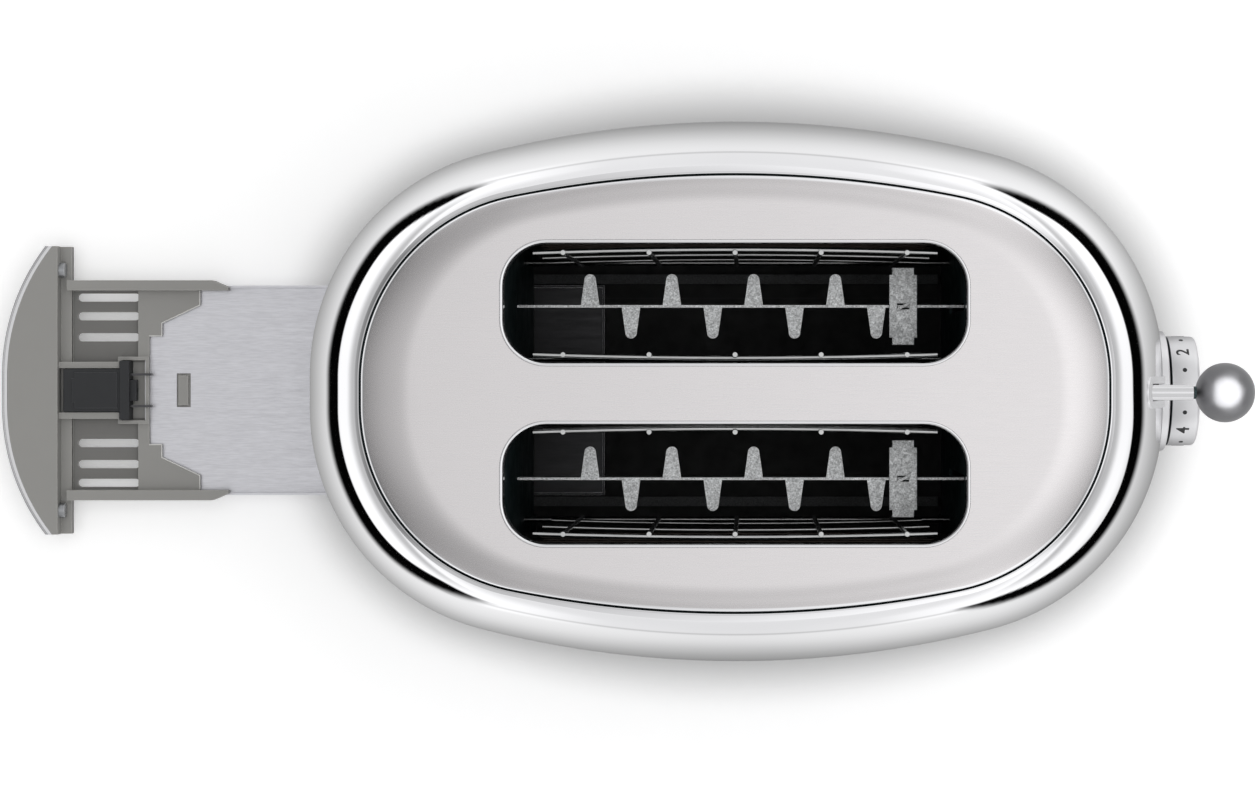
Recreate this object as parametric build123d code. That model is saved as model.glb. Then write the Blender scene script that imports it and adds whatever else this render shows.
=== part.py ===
from build123d import *
import math
import os

# Two-slot toaster. Millimetres, Z up from the table. X runs from the crumb tray
# end to the lever end, Y across the two bread slots, and the origin is the
# middle of the footprint. The crumb tray stands pulled out, the lever is up.

# Body form
BODY_LENGTH = 310.0
BODY_WIDTH = 196.8
BODY_HEIGHT = 197.0
WIDEST_Z = 30.0
CORNER_R = 0.4217 * BODY_WIDTH
CORNER_DRAW = 0.8  # corner radius lost for each millimetre the long side draws in
END_HALF_FLAT = 6.2
END_FLAT_DRAW = 0.085
END_BARREL_R = 457.0
SIDE_BARREL_R = 600.0
END_SHOULDER_R = 28.0
SIDE_SHOULDER_R = 18.0
SHOULDER_START_DEG = 10.0
OUTER_BAND_COUNTS = (8, 12)  # bands of the outer form, in the barrel and in the shoulder
INNER_BAND_COUNTS = (8, 6)
SHELL_BOTTOM_Z = 20.0
SHELL_WALL = 1.6

# Clearances
SEAT = 0.05  # between pieces fixed to each other
RUN = 0.3  # between pieces that move past each other
PIVOT_FIT = 0.06  # radial, between a shaft and its bearing hole

# Top panel and bread slots
SEAM_END_INSET = 34.0
SEAM_SIDE_INSET = 27.8
SEAM_GAP = 0.4
PANEL_EDGE_DEPTH = 6.4
PANEL_SHEET = 1.2
PANEL_RIM_WIDTH = 3.0
LEDGE_WIDTH = 7.0
LEDGE_ROOT = 5.0
LEDGE_THICK = 1.4
SLOT_LENGTH = 148.4
SLOT_WIDTH = 38.2
SLOT_CORNER_R = 13.8
SLOT_Y = 29.0
SLOT_LIP_DEPTH = 6.5
SLOT_LIP_CHAMFER = 0.8

# Feet, base pan and base ring
FOOT_HEIGHT = 4.7
FOOT_R = 9.0
FOOT_INSET_X = 57.0
FOOT_INSET_Y = 40.4
FOOT_STEM_R = 2.5
FOOT_STEM_RISE = 1.6
PAN_THICK = 2.0
VENT_COUNT = 3
VENT_PITCH = 36.0
VENT_SLOT_LENGTH = 24.0
VENT_SLOT_WIDTH = 4.0
VENT_INSET = 30.4  # from the widest long side to the middle of a row of vents
RUNNER_Y = 34.0
RUNNER_WIDTH = 2.0
RING_TOP_INSET = 3.5
RING_BOTTOM_INSET = 5.0
RING_BOTTOM_Z = 5.2
RING_WALL = 1.9
RING_BEAD_INSET = 1.8
RING_BEAD_HEIGHT = 1.6
RING_LIP_TOP_Z = 26.0
GLAND_X = -40.0
GLAND_INSET_Y = 22.4
GLAND_BORE_R = 3.6
GLAND_R = 5.6
GLAND_FLANGE_R = 8.0
GLAND_HEIGHT = 7.0
GLAND_FLANGE_THICK = 1.6

# Toasting chamber
CHAMBER_MARGIN = 2.4  # from each end of a slot to the end plate
PLATE = 0.8  # sheet used for the blades and reflectors
END_PLATE = 1.0
END_PLATE_WIDTH = 124.0
CHAMBER_TOP_DEPTH = 10.0  # below the top of the body
CHAMBER_BOTTOM_Z = 20.6
REFLECTOR_Y = 56.0
REFLECTOR_BOTTOM_Z = 24.0
LEG_WIDTH = 15.0
MICA = 0.5
CARD_OFFSET = 22.0  # from the middle of a slot to each heater card
CARD_BOTTOM_Z = 72.0
CARD_TOP_DEPTH = 15.0
RIBBON_ROWS = 8
RIBBON_HEIGHT = 2.2
RIBBON_THICK = 0.3
RIBBON_LENGTH = 136.0

# Bread guards, four wire grids that swing in to hold the bread
GUARD_OFFSET = 16.5
GUARD_WIRE_R = 0.8
GUARD_PIVOT_R = 1.0
GUARD_PIVOT_Z = 68.0
GUARD_PITCH = 27.8
GUARD_UPRIGHTS = 5
GUARD_RAIL_LENGTH = 131.0
GUARD_RAIL_BOW = 2.3
GUARD_LOW_RAILS_Z = (90.0, 137.0)
GUARD_TIP = 3.0  # uprights above the top rail
PIVOT_REACH = 3.0  # pivot wire beyond the end plates

# Bread lifter
LEVER_LOW_Z = 85.5
BLADE_DEPTH = 52.0  # from the top of the body to the raised bread
BLADE_HEIGHT = 11.0
BLADE_TRAY_END_X = -73.5
TAB_COUNT = 4
TAB_PITCH = 27.5
TAB_FIRST_X = -49.0
TAB_LENGTH = 10.8
TAB_BASE = 6.3
TAB_TIP_R = 1.9
BLADE_FOOT = 7.0  # blade end folded along the carriage
STRAP_X = 56.3
STRAP_WIDTH = 9.4
STRAP_LENGTH = 26.0
STRAP_NECK = 1.0
STRAP_LIP = 2.6
STRAP_SHOULDER = 2.4
STRAP_SLIT = (5.6, 1.9)
STRAP_TWIST = 28.0
STRAP_KEY_HEIGHT = 1.2

# Carriage, guide rods and lever
CARRIAGE_X = 86.0
CARRIAGE_THICK = 2.0
CARRIAGE_WIDTH = 76.0
CARRIAGE_DROP = 17.0  # below the blades' top edge
CARRIAGE_RISE = 6.0
GUIDE_ROD_R = 2.5
GUIDE_ROD_Y = 20.0
BUSH_R = 4.5
BUSH_LENGTH = 16.0
BRIDGE_THICK = 2.0
BRIDGE_FLANGE = 12.0
ROD_EDGE = 1.0  # from a bush to the edge of the bridge
ROD_FOOT_THICK = 3.5
SPRING_WALL = 0.8
SPRING_ROOM = 0.6
LEVER_RISE = 2.5
LEVER_STEM_R = 2.6
BALL_R = 10.0
BALL_STANDOFF = 9.2
SURROUND_WIDTH = 11.0
SURROUND_PROUD = 0.6
SURROUND_RISE = 9.0

# Hold-down magnet and control board
MAGNET_R = 7.5
MAGNET_LENGTH = 22.0
MAGNET_END = 2.0  # core beyond the coil, and thickness of its bracket
CORE_R = 4.0
ARMATURE_THICK = 3.0
ARMATURE_WIDTH = 18.0
BOARD_INSET = 33.0
BOARD_THICK = 1.6
BOARD_WIDTH = 96.0
BOARD_BOTTOM_Z = 24.0
BOARD_TOP_Z = 79.0
STAND_WIDTH = 8.0
STAND_WALL = 3.0
STAND_GRIP = 5.0
POT_SIZE = 18.0
POT_DEPTH = 10.0
POT_BOTTOM = 4.0

# Browning knob and buttons
KNOB_Z = 52.0
KNOB_R = 20.0
KNOB_STANDOFF = 12.1
KNOB_DEPTH = 10.6
KNOB_WALL = 2.5
KNOB_EDGE = 0.8
SHAFT_R = 3.0
BEZEL_R = 21.9
BEZEL_DEPTH = 4.0
SHAFT_ROOM = 3.0
BUTTON_R = 6.0
BUTTON_Y = 37.0
BUTTON_PITCH_Z = 24.0
BUTTON_CAP_DEPTH = 12.0
BUTTON_STEM_R = 2.0
BUTTON_TRAVEL = 1.5
SWITCH_DEPTH = 2.6
SWITCH_SIZE = 6.0
GUIDE_PLATE = 2.0
GUIDE_MARGIN = 3.0

# Crumb tray. A size that ends in START or END is a place along X from the tray end of the body.
TRAY_TRAVEL = 126.0
TRAY_WIDTH = 108.8
TRAY_HEIGHT = 11.0
TRAY_COVER = 2.2
TRAY_MOULD_WALL = 2.0
TRAY_WALL_END = 24.6
TRAY_BACK_END = 28.5
TRAY_SHELF_HEIGHT = 4.0
GRIP_HALF_WIDTH = 45.0
GRIP_DEPTH = 1.2
GRIP_LIP = 2.5
RAIL_OUTER_Y = 41.6
RAIL_WIDTH = 3.8
RAIL_HEIGHT = 8.0
RAIL_END = 88.4
RAIL_TIP = (2.6, 6.0)
FLOOR_THICK = 1.5
VENT_LENGTH = 23.4
VENT_WIDTH = 3.0
VENT_YS = (20.1, 28.1, 35.2)
VENT_START = 30.4
DECK_START = 54.8
DECK_THICK = 1.8
DECK_STEP_ENDS = (77.1, 62.7, 58.0)
DECK_STEP_YS = (32.3, 25.5, 20.6)
TRAY_PLATE_Y = 39.7
TRAY_PLATE_LIFT = 1.6
TRAY_FLANGE = 3.0
WINDOW_START = 68.05
WINDOW_SIZE = (5.3, 12.8)
WINDOW_GAP = 0.8
CASE_START = 26.4
CASE_END = 47.6
CASE_HALF_WIDTH = 8.1
CASE_HEIGHT = 7.6
CASE_FLANGE = 3.8
CASE_FLANGE_HALF_WIDTH = 11.15
CASE_FLANGE_RISE = 0.8
CASE_BACK_WALL = 4.0
CENTRE_WALL = 2.3
CENTRE_WALL_DROP = 3.0  # below the handle's top
POCKET_WALL = 1.2
POCKET_RISE = 4.0
TONGUE_HALF_WIDTH = 4.0
TONGUE_REACH = 2.3
TONGUE_THICK = 4.0
LATCH_TRAVEL = 1.8
LATCH_WIRE_R = 0.45
LATCH_WIRE_Y = 6.0
LATCH_WIRE_LENGTH = 8.0
LATCH_WIRE_RISE = 5.0
LATCH_WIRE_HOOK = 2.0
TRAY_SCREW_Y = 45.4
SCREW_HEAD_R = 2.9
SCREW_HEAD_HEIGHT = 2.2
SCREW_SHANK_R = 1.6
SCREW_REACH = 4.0
STRIKER_THICK = 1.2
STRIKER_RISE = 12.0
GUIDE_WALL = 1.5
GUIDE_LIP = 2.0

# Levels and places worked out from the sizes above
END_CURVE = (END_BARREL_R, END_SHOULDER_R)
SIDE_CURVE = (SIDE_BARREL_R, SIDE_SHOULDER_R)
FOOT_X = BODY_LENGTH / 2 - FOOT_INSET_X
FOOT_Y = BODY_WIDTH / 2 - FOOT_INSET_Y
GLAND_Y = BODY_WIDTH / 2 - GLAND_INSET_Y
PAN_TOP_Z = FOOT_HEIGHT + PAN_THICK
TRAY_END_X = -BODY_LENGTH / 2
TRAY_WALL_X = TRAY_END_X + TRAY_WALL_END
TRAY_BACK_X = TRAY_END_X + TRAY_BACK_END
RAIL_END_X = TRAY_END_X + RAIL_END
VENT_X = TRAY_END_X + VENT_START + VENT_LENGTH / 2
DECK_X = TRAY_END_X + DECK_START
WINDOW_X = TRAY_END_X + WINDOW_START + WINDOW_SIZE[0] / 2
CASE_START_X = TRAY_END_X + CASE_START
CASE_END_X = TRAY_END_X + CASE_END
TRAY_Z = PAN_TOP_Z + RUN
TRAY_TOP_Z = TRAY_Z + TRAY_HEIGHT
TRAY_PLATE_Z = TRAY_Z + TRAY_PLATE_LIFT
RING_TOP_Z = SHELL_BOTTOM_Z - SEAT
RING_BEAD_Z = RING_TOP_Z - RING_BEAD_HEIGHT
LEDGE_TOP_Z = BODY_HEIGHT - PANEL_SHEET - PANEL_EDGE_DEPTH - SEAT
CHAMBER_TOP_Z = BODY_HEIGHT - CHAMBER_TOP_DEPTH
CARD_TOP_Z = BODY_HEIGHT - CARD_TOP_DEPTH
GUARD_TOP_Z = CHAMBER_TOP_Z
GUARD_RAILS_Z = (*GUARD_LOW_RAILS_Z, GUARD_TOP_Z - GUARD_TIP)
END_PLATE_X = SLOT_LENGTH / 2 + CHAMBER_MARGIN
TRAY_PLATE_END_X = END_PLATE_X - 1.0
SHEET_END_X = END_PLATE_X - SEAT
BLADE_TOP_Z = BODY_HEIGHT - BLADE_DEPTH
LEVER_Z = BLADE_TOP_Z + LEVER_RISE
LEVER_TRAVEL = LEVER_Z - LEVER_LOW_Z
LEVER_SLOT_WIDTH = 2 * LEVER_STEM_R + 2 * RUN
SURROUND_TOP_Z = LEVER_Z + SURROUND_RISE
CARRIAGE_BOTTOM_Z = BLADE_TOP_Z - CARRIAGE_DROP
CARRIAGE_TOP_Z = BLADE_TOP_Z + CARRIAGE_RISE
BUSH_X = CARRIAGE_X + CARRIAGE_THICK + SEAT + BUSH_R
BALL_X = BODY_LENGTH / 2 + BALL_STANDOFF
BOARD_X = BODY_LENGTH / 2 - BOARD_INSET
BUTTON_CAP_X = BODY_LENGTH / 2 - BUTTON_CAP_DEPTH
KNOB_FRONT_X = BODY_LENGTH / 2 + KNOB_STANDOFF
BOARD_FRONT_X = BOARD_X + BOARD_THICK + SEAT
ARMATURE_Z = CARRIAGE_BOTTOM_Z - ARMATURE_THICK - SEAT
CORE_TOP_Z = ARMATURE_Z - LEVER_TRAVEL - RUN
BUSH_BOTTOM_Z = (CARRIAGE_BOTTOM_Z + CARRIAGE_TOP_Z - BUSH_LENGTH) / 2
ROD_FOOT_Z = PAN_TOP_Z + SEAT
BRIDGE_Z = CARRIAGE_TOP_Z + RUN
PIVOT_OFFSET = GUARD_OFFSET + GUARD_WIRE_R
CASE_Z = TRAY_Z + FLOOR_THICK + SEAT


def block(x0, x1, y0, y1, z0, z1):
    """Box between two corners."""
    middle = Pos((x0 + x1) / 2, (y0 + y1) / 2, (z0 + z1) / 2)
    return middle * Box(x1 - x0, y1 - y0, z1 - z0)


def wide_block(x0, x1, half_width, z0, z1):
    """Box that lies evenly to both sides of the long middle plane."""
    return block(x0, x1, -half_width, half_width, z0, z1)


def post(radius, x, y, z0, z1):
    """Upright cylinder."""
    return Pos(x, y, (z0 + z1) / 2) * Cylinder(radius, z1 - z0)


def bar(radius, x0, x1, y, z):
    """Cylinder along X."""
    return Pos((x0 + x1) / 2, y, z) * Rot(0, 90, 0) * Cylinder(radius, x1 - x0)


def both_sides(shape):
    """The shape and its mirror image across the long middle plane."""
    return shape + mirror(shape, Plane.XZ)


def inset_at(z, curve, wall=0.0):
    """How far the body has drawn in at a height: a barrel arc that a shoulder arc rounds to the top."""
    barrel_r, shoulder_r = curve
    centre_z = BODY_HEIGHT - shoulder_r
    rise = centre_z - WIDEST_Z
    between = barrel_r - shoulder_r
    centre_inset = barrel_r - math.sqrt(between**2 - rise**2)
    meeting_z = WIDEST_Z + rise * (barrel_r - wall) / between
    if z <= meeting_z:
        return barrel_r - math.sqrt((barrel_r - wall) ** 2 - (z - WIDEST_Z) ** 2)
    return centre_inset - math.sqrt(max((shoulder_r - wall) ** 2 - (z - centre_z) ** 2, 0.0))


def oval(end_inset, side_inset, z):
    """Level outline of the body: short flats at the ends, corner arcs and long side arcs."""
    half_x = BODY_LENGTH / 2 - end_inset
    half_y = BODY_WIDTH / 2 - side_inset
    corner = CORNER_R - CORNER_DRAW * side_inset
    flat = END_HALF_FLAT - END_FLAT_DRAW * side_inset
    corner_x = half_x - corner
    drop = half_y - flat - corner
    side = (corner_x**2 + (drop + corner) ** 2 - corner**2) / (2 * drop)
    turn = math.atan2(flat - half_y + side, corner_x)
    meet = (corner_x + corner * math.cos(turn), flat + corner * math.sin(turn))
    middle = (corner_x + corner * math.cos(turn / 2), flat + corner * math.sin(turn / 2))

    def at(point, x_side, y_side):
        return Vector(point[0] * x_side, point[1] * y_side, z)

    end = (half_x, flat)
    crown = (0.0, half_y)
    edges = []
    for x_side, y_side in ((1, 1), (-1, -1)):
        edges += [
            Edge.make_line(at(end, x_side, -y_side), at(end, x_side, y_side)),
            Edge.make_three_point_arc(
                at(end, x_side, y_side), at(middle, x_side, y_side), at(meet, x_side, y_side)
            ),
            Edge.make_three_point_arc(
                at(meet, x_side, y_side), at(crown, x_side, y_side), at(meet, -x_side, y_side)
            ),
            Edge.make_three_point_arc(
                at(meet, -x_side, y_side), at(middle, -x_side, y_side), at(end, -x_side, y_side)
            ),
        ]
    return Wire(edges)


def prism(end_inset, side_inset, z0, z1):
    """Upright solid on an oval."""
    return extrude(Face(oval(end_inset, side_inset, z0)), z1 - z0, dir=(0, 0, 1))


def tapered(bottom_inset, bottom_z, top_inset, top_z):
    """Solid between two ovals, with straight sides."""
    wires = [oval(bottom_inset, bottom_inset, bottom_z), oval(top_inset, top_inset, top_z)]
    return Part() + Solid.make_loft(wires, ruled=True)


def body_form(wall, band_counts):
    """The whole body as a solid, or its hollow where a wall is given, lofted through level sections."""
    barrel_bands, shoulder_bands = band_counts
    shoulder = (END_SHOULDER_R + SIDE_SHOULDER_R) / 2
    top_z = BODY_HEIGHT - wall
    start = math.radians(SHOULDER_START_DEG)
    barrel_top = top_z - shoulder * (1 - math.sin(start))
    levels = [
        SHELL_BOTTOM_Z + (barrel_top - SHELL_BOTTOM_Z) * band / barrel_bands
        for band in range(barrel_bands)
    ]
    for band in range(shoulder_bands + 1):
        turn = start + (math.pi / 2 - start) * band / shoulder_bands
        levels.append(top_z - shoulder * (1 - math.sin(turn)))
    wires = [oval(inset_at(z, END_CURVE, wall), inset_at(z, SIDE_CURVE, wall), z) for z in levels]
    return Part() + Solid.make_loft(wires, ruled=True)


def slot_prism(extra, z0, z1):
    """Both bread slots as upright solids, grown by a margin."""
    outline = RectangleRounded(
        SLOT_LENGTH + 2 * extra, SLOT_WIDTH + 2 * extra, SLOT_CORNER_R + extra
    )
    return both_sides(Pos(0, SLOT_Y, z0) * extrude(outline, z1 - z0))


def oblong(width, z0, z1, x0, x1):
    """Upright slot with round ends, cut along X."""
    outline = Plane.YZ.offset(x0) * Pos(0, (z0 + z1) / 2) * SlotOverall(z1 - z0, width, rotation=90)
    return extrude(outline, x1 - x0, dir=(1, 0, 0))


OUTER_FORM = body_form(0.0, OUTER_BAND_COUNTS)
INNER_FORM = body_form(SHELL_WALL, INNER_BAND_COUNTS)


def button_places():
    """Where the four buttons stand around the knob."""
    for y in (-BUTTON_Y, BUTTON_Y):
        for z in (KNOB_Z - BUTTON_PITCH_Z / 2, KNOB_Z + BUTTON_PITCH_Z / 2):
            yield y, z


def body_shell():
    end_x = BODY_LENGTH / 2
    root_insets = (SEAM_END_INSET - LEDGE_ROOT, SEAM_SIDE_INSET - LEDGE_ROOT)
    ledge = prism(*root_insets, LEDGE_TOP_Z - LEDGE_THICK, LEDGE_TOP_Z)
    shell = OUTER_FORM - INNER_FORM + (ledge & OUTER_FORM)
    shell -= prism(
        SEAM_END_INSET + LEDGE_WIDTH, SEAM_SIDE_INSET + LEDGE_WIDTH, WIDEST_Z, BODY_HEIGHT + 1
    )
    shell -= prism(SEAM_END_INSET, SEAM_SIDE_INSET, LEDGE_TOP_Z, BODY_HEIGHT + 1)
    shell -= oblong(
        SURROUND_WIDTH, LEVER_LOW_Z - SURROUND_WIDTH / 2, SURROUND_TOP_Z, CARRIAGE_X, end_x + 1
    )
    shell -= bar(SHAFT_R + SHAFT_ROOM + 1, BOARD_X, end_x + 1, 0, KNOB_Z)
    for y, z in button_places():
        shell -= bar(BUTTON_R + RUN, BOARD_X, end_x + 1, y, z)
    return shell


def top_panel():
    end_inset = SEAM_END_INSET + SEAM_GAP
    side_inset = SEAM_SIDE_INSET + SEAM_GAP
    bottom_z = LEDGE_TOP_Z + SEAT
    sheet_z = BODY_HEIGHT - PANEL_SHEET
    panel = prism(end_inset, side_inset, bottom_z, BODY_HEIGHT + 1) & OUTER_FORM
    inside = prism(end_inset + PANEL_RIM_WIDTH, side_inset + PANEL_RIM_WIDTH, bottom_z - 1, BODY_HEIGHT)
    panel -= inside & body_form(PANEL_SHEET, INNER_BAND_COUNTS)
    lip_z = BODY_HEIGHT - SLOT_LIP_DEPTH
    panel += slot_prism(PANEL_SHEET, lip_z, sheet_z + PANEL_SHEET / 2)
    panel -= slot_prism(0, lip_z - 1, BODY_HEIGHT + 1)
    top_edges = [edge for edge in panel.edges() if abs(edge.center().Z - BODY_HEIGHT) < SEAT]
    slot_reach_x = SLOT_LENGTH / 2 + SEAT
    slot_reach_y = SLOT_Y + SLOT_WIDTH / 2 + SEAT
    rims = [
        edge
        for edge in top_edges
        if abs(edge.center().X) < slot_reach_x and abs(edge.center().Y) < slot_reach_y
    ]
    return chamfer(rims, SLOT_LIP_CHAMFER)


def base_ring():
    skirt = tapered(RING_BOTTOM_INSET, RING_BOTTOM_Z, RING_TOP_INSET, RING_BEAD_Z)
    ring = skirt + prism(RING_BEAD_INSET, RING_BEAD_INSET, RING_BEAD_Z, RING_TOP_Z)
    lip_inset = inset_at(SHELL_BOTTOM_Z, END_CURVE, SHELL_WALL) + RUN
    ring += prism(lip_inset, lip_inset, RING_TOP_Z, RING_LIP_TOP_Z)
    inside_bottom = RING_BOTTOM_INSET + RING_WALL
    inside_top = RING_TOP_INSET + RING_WALL
    ring -= tapered(inside_bottom, RING_BOTTOM_Z - 0.5, inside_top, RING_LIP_TOP_Z + 0.5)
    mouth = TRAY_WIDTH / 2 + 0.5
    ring -= wide_block(-BODY_LENGTH, TRAY_BACK_X + 4, mouth, 0, RING_BEAD_Z)
    return ring


def pan_runner():
    """Ribs that carry the crumb tray's steel plate."""
    y0 = RUNNER_Y - RUNNER_WIDTH / 2
    start_x = DECK_X + 2 * RUNNER_WIDTH
    top = TRAY_PLATE_Z - RUN
    return both_sides(
        block(start_x, TRAY_PLATE_END_X, y0, y0 + RUNNER_WIDTH, PAN_TOP_Z - 0.5, top)
    )


def base_pan():
    inset = RING_BOTTOM_INSET + RING_WALL + RUN
    pan = prism(inset, inset, FOOT_HEIGHT, PAN_TOP_Z) + pan_runner()
    pan -= post(GLAND_R + SEAT, GLAND_X, GLAND_Y, 0, PAN_TOP_Z + 1)
    for x, y in foot_places():
        pan -= post(FOOT_STEM_R + SEAT, x, y, 0, PAN_TOP_Z + 1)
    vent_y = BODY_WIDTH / 2 - VENT_INSET
    for index in range(VENT_COUNT):
        x = GLAND_X + (index + 0.5) * VENT_PITCH
        vent = Pos(x, vent_y, FOOT_HEIGHT) * Box(VENT_SLOT_LENGTH, VENT_SLOT_WIDTH, 3 * PAN_THICK)
        pan -= both_sides(vent)
    return pan


def foot_places():
    """The four feet, under the corners of the base pan."""
    for x in (-FOOT_X, FOOT_X):
        for y in (-FOOT_Y, FOOT_Y):
            yield x, y


def rubber_feet():
    """Feet pressed into the base pan by their stems."""
    feet = Part()
    for x, y in foot_places():
        feet += post(FOOT_R, x, y, 0, FOOT_HEIGHT - SEAT)
        feet += post(FOOT_STEM_R, x, y, FOOT_HEIGHT - 1, PAN_TOP_Z + FOOT_STEM_RISE)
    return feet


def cord_gland():
    gland = post(GLAND_R, GLAND_X, GLAND_Y, FOOT_HEIGHT - 1, FOOT_HEIGHT + GLAND_HEIGHT)
    flange_z = FOOT_HEIGHT - GLAND_FLANGE_THICK
    gland += post(GLAND_FLANGE_R, GLAND_X, GLAND_Y, flange_z, FOOT_HEIGHT - SEAT)
    gland -= post(GLAND_BORE_R, GLAND_X, GLAND_Y, 0, FOOT_HEIGHT + GLAND_HEIGHT + 1)
    return gland


def pivot_places():
    """The four guard pivots: place across the toaster and the way each guard leans in."""
    for slot_y in (-SLOT_Y, SLOT_Y):
        for side in (-1, 1):
            yield slot_y + side * PIVOT_OFFSET, slot_y, side


def end_plate(x_side):
    near = END_PLATE_X * x_side
    far = (END_PLATE_X + END_PLATE) * x_side
    x0, x1 = sorted((near, far))
    plate = wide_block(x0, x1, END_PLATE_WIDTH / 2, CHAMBER_BOTTOM_Z, CHAMBER_TOP_Z)
    outer = END_PLATE_WIDTH / 2
    leg = block(x0, x1, outer - LEG_WIDTH, outer, PAN_TOP_Z + SEAT, CHAMBER_BOTTOM_Z + 1)
    plate += both_sides(leg)
    for y, _, _ in pivot_places():
        plate -= bar(GUARD_PIVOT_R + PIVOT_FIT, x0 - 1, x1 + 1, y, GUARD_PIVOT_Z)
    return plate


def lever_end_plate():
    plate = end_plate(1)
    low = BLADE_TOP_Z - BLADE_HEIGHT - LEVER_TRAVEL - 2
    gap = PLATE / 2 + 3 * RUN
    high = BLADE_TOP_Z + 3
    slit = block(END_PLATE_X - 1, END_PLATE_X + END_PLATE + 1, SLOT_Y - gap, SLOT_Y + gap, low, high)
    return plate - both_sides(slit)


def tray_end_plate():
    return end_plate(-1)


def side_reflector(side):
    y0, y1 = sorted((side * REFLECTOR_Y, side * (REFLECTOR_Y + PLATE)))
    return block(-SHEET_END_X, SHEET_END_X, y0, y1, REFLECTOR_BOTTOM_Z, CHAMBER_TOP_Z - 2)


def centre_reflector():
    return wide_block(-SHEET_END_X, SHEET_END_X, PLATE / 2, REFLECTOR_BOTTOM_Z, CHAMBER_TOP_Z - 2)


def heater_places():
    """Each heater card's place across the toaster and the way that it faces its bread."""
    for slot_y in (-SLOT_Y, SLOT_Y):
        for side in (-1, 1):
            yield slot_y + side * CARD_OFFSET, -side


def heater_card(y):
    half = MICA / 2
    return block(-SHEET_END_X, SHEET_END_X, y - half, y + half, CARD_BOTTOM_Z, CARD_TOP_Z)


def heater_ribbon(y, facing):
    """One unbroken ribbon that runs to and fro across the card."""
    pitch = (CARD_TOP_Z - CARD_BOTTOM_Z) / (RIBBON_ROWS + 0.5)
    face = y + facing * (MICA / 2 + SEAT)
    y0, y1 = sorted((face, face + facing * RIBBON_THICK))
    half = RIBBON_LENGTH / 2
    ribbon = Part()
    for row in range(RIBBON_ROWS):
        z = CARD_BOTTOM_Z + pitch * (row + 0.75)
        ribbon += block(-half, half, y0, y1, z, z + RIBBON_HEIGHT)
        if row:
            x0, x1 = (half - RIBBON_HEIGHT, half) if row % 2 else (-half, -half + RIBBON_HEIGHT)
            ribbon += block(x0, x1, y0, y1, z - pitch, z + RIBBON_HEIGHT)
    return ribbon


def guard(pivot_y, slot_y, side):
    """A wire grid on its pivot wire: uprights toward the bread, bowed rails behind them."""
    section = RegularPolygon(GUARD_WIRE_R, 6)
    upright_y = slot_y + side * GUARD_OFFSET
    rail_y = upright_y + side * 1.5 * GUARD_WIRE_R
    reach = END_PLATE_X + PIVOT_REACH
    grid = bar(GUARD_PIVOT_R, -reach, reach, pivot_y, GUARD_PIVOT_Z)
    for index in range(GUARD_UPRIGHTS):
        x = (index - (GUARD_UPRIGHTS - 1) / 2) * GUARD_PITCH
        grid += Pos(x, upright_y, GUARD_PIVOT_Z) * extrude(section, GUARD_TOP_Z - GUARD_PIVOT_Z)
    rail = bowed_rail(rail_y, rail_y - side * GUARD_RAIL_BOW / 2, GUARD_RAILS_Z[0])
    for z in GUARD_RAILS_Z:
        grid += Pos(0, 0, z - GUARD_RAILS_Z[0]) * rail
    return grid


def bowed_rail(middle_y, end_y, z):
    """Level wire with a slight bow, square in section."""
    half = GUARD_RAIL_LENGTH / 2

    def bow(way, side):
        ends = [(x, end_y + side * GUARD_WIRE_R, z) for x in (-way * half, way * half)]
        return Edge.make_three_point_arc(ends[0], (0, middle_y + side * GUARD_WIRE_R, z), ends[1])

    def end(x, side):
        start = (x, end_y + side * GUARD_WIRE_R, z)
        return Edge.make_line(start, (x, end_y - side * GUARD_WIRE_R, z))

    outline = Wire([bow(1, -1), end(half, -1), bow(-1, 1), end(-half, 1)])
    return Pos(0, 0, -GUARD_WIRE_R) * extrude(Face(outline), 2 * GUARD_WIRE_R, dir=(0, 0, 1))


def tab(x, side, slot_y):
    """One tapered bread rest, bent level from the blade's top edge."""
    shoulder = slot_y + side * (TAB_LENGTH - TAB_TIP_R)
    root_left = (x - TAB_BASE / 2, slot_y, 0)
    root_right = (x + TAB_BASE / 2, slot_y, 0)
    left = (x - TAB_TIP_R, shoulder, 0)
    right = (x + TAB_TIP_R, shoulder, 0)
    tip = (x, slot_y + side * TAB_LENGTH, 0)
    outline = Wire(
        [
            Edge.make_line(root_left, root_right),
            Edge.make_line(root_right, right),
            Edge.make_three_point_arc(right, tip, left),
            Edge.make_line(left, root_left),
        ]
    )
    return Pos(0, 0, BLADE_TOP_Z - PLATE) * extrude(Face(outline), PLATE, dir=(0, 0, 1))


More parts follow.
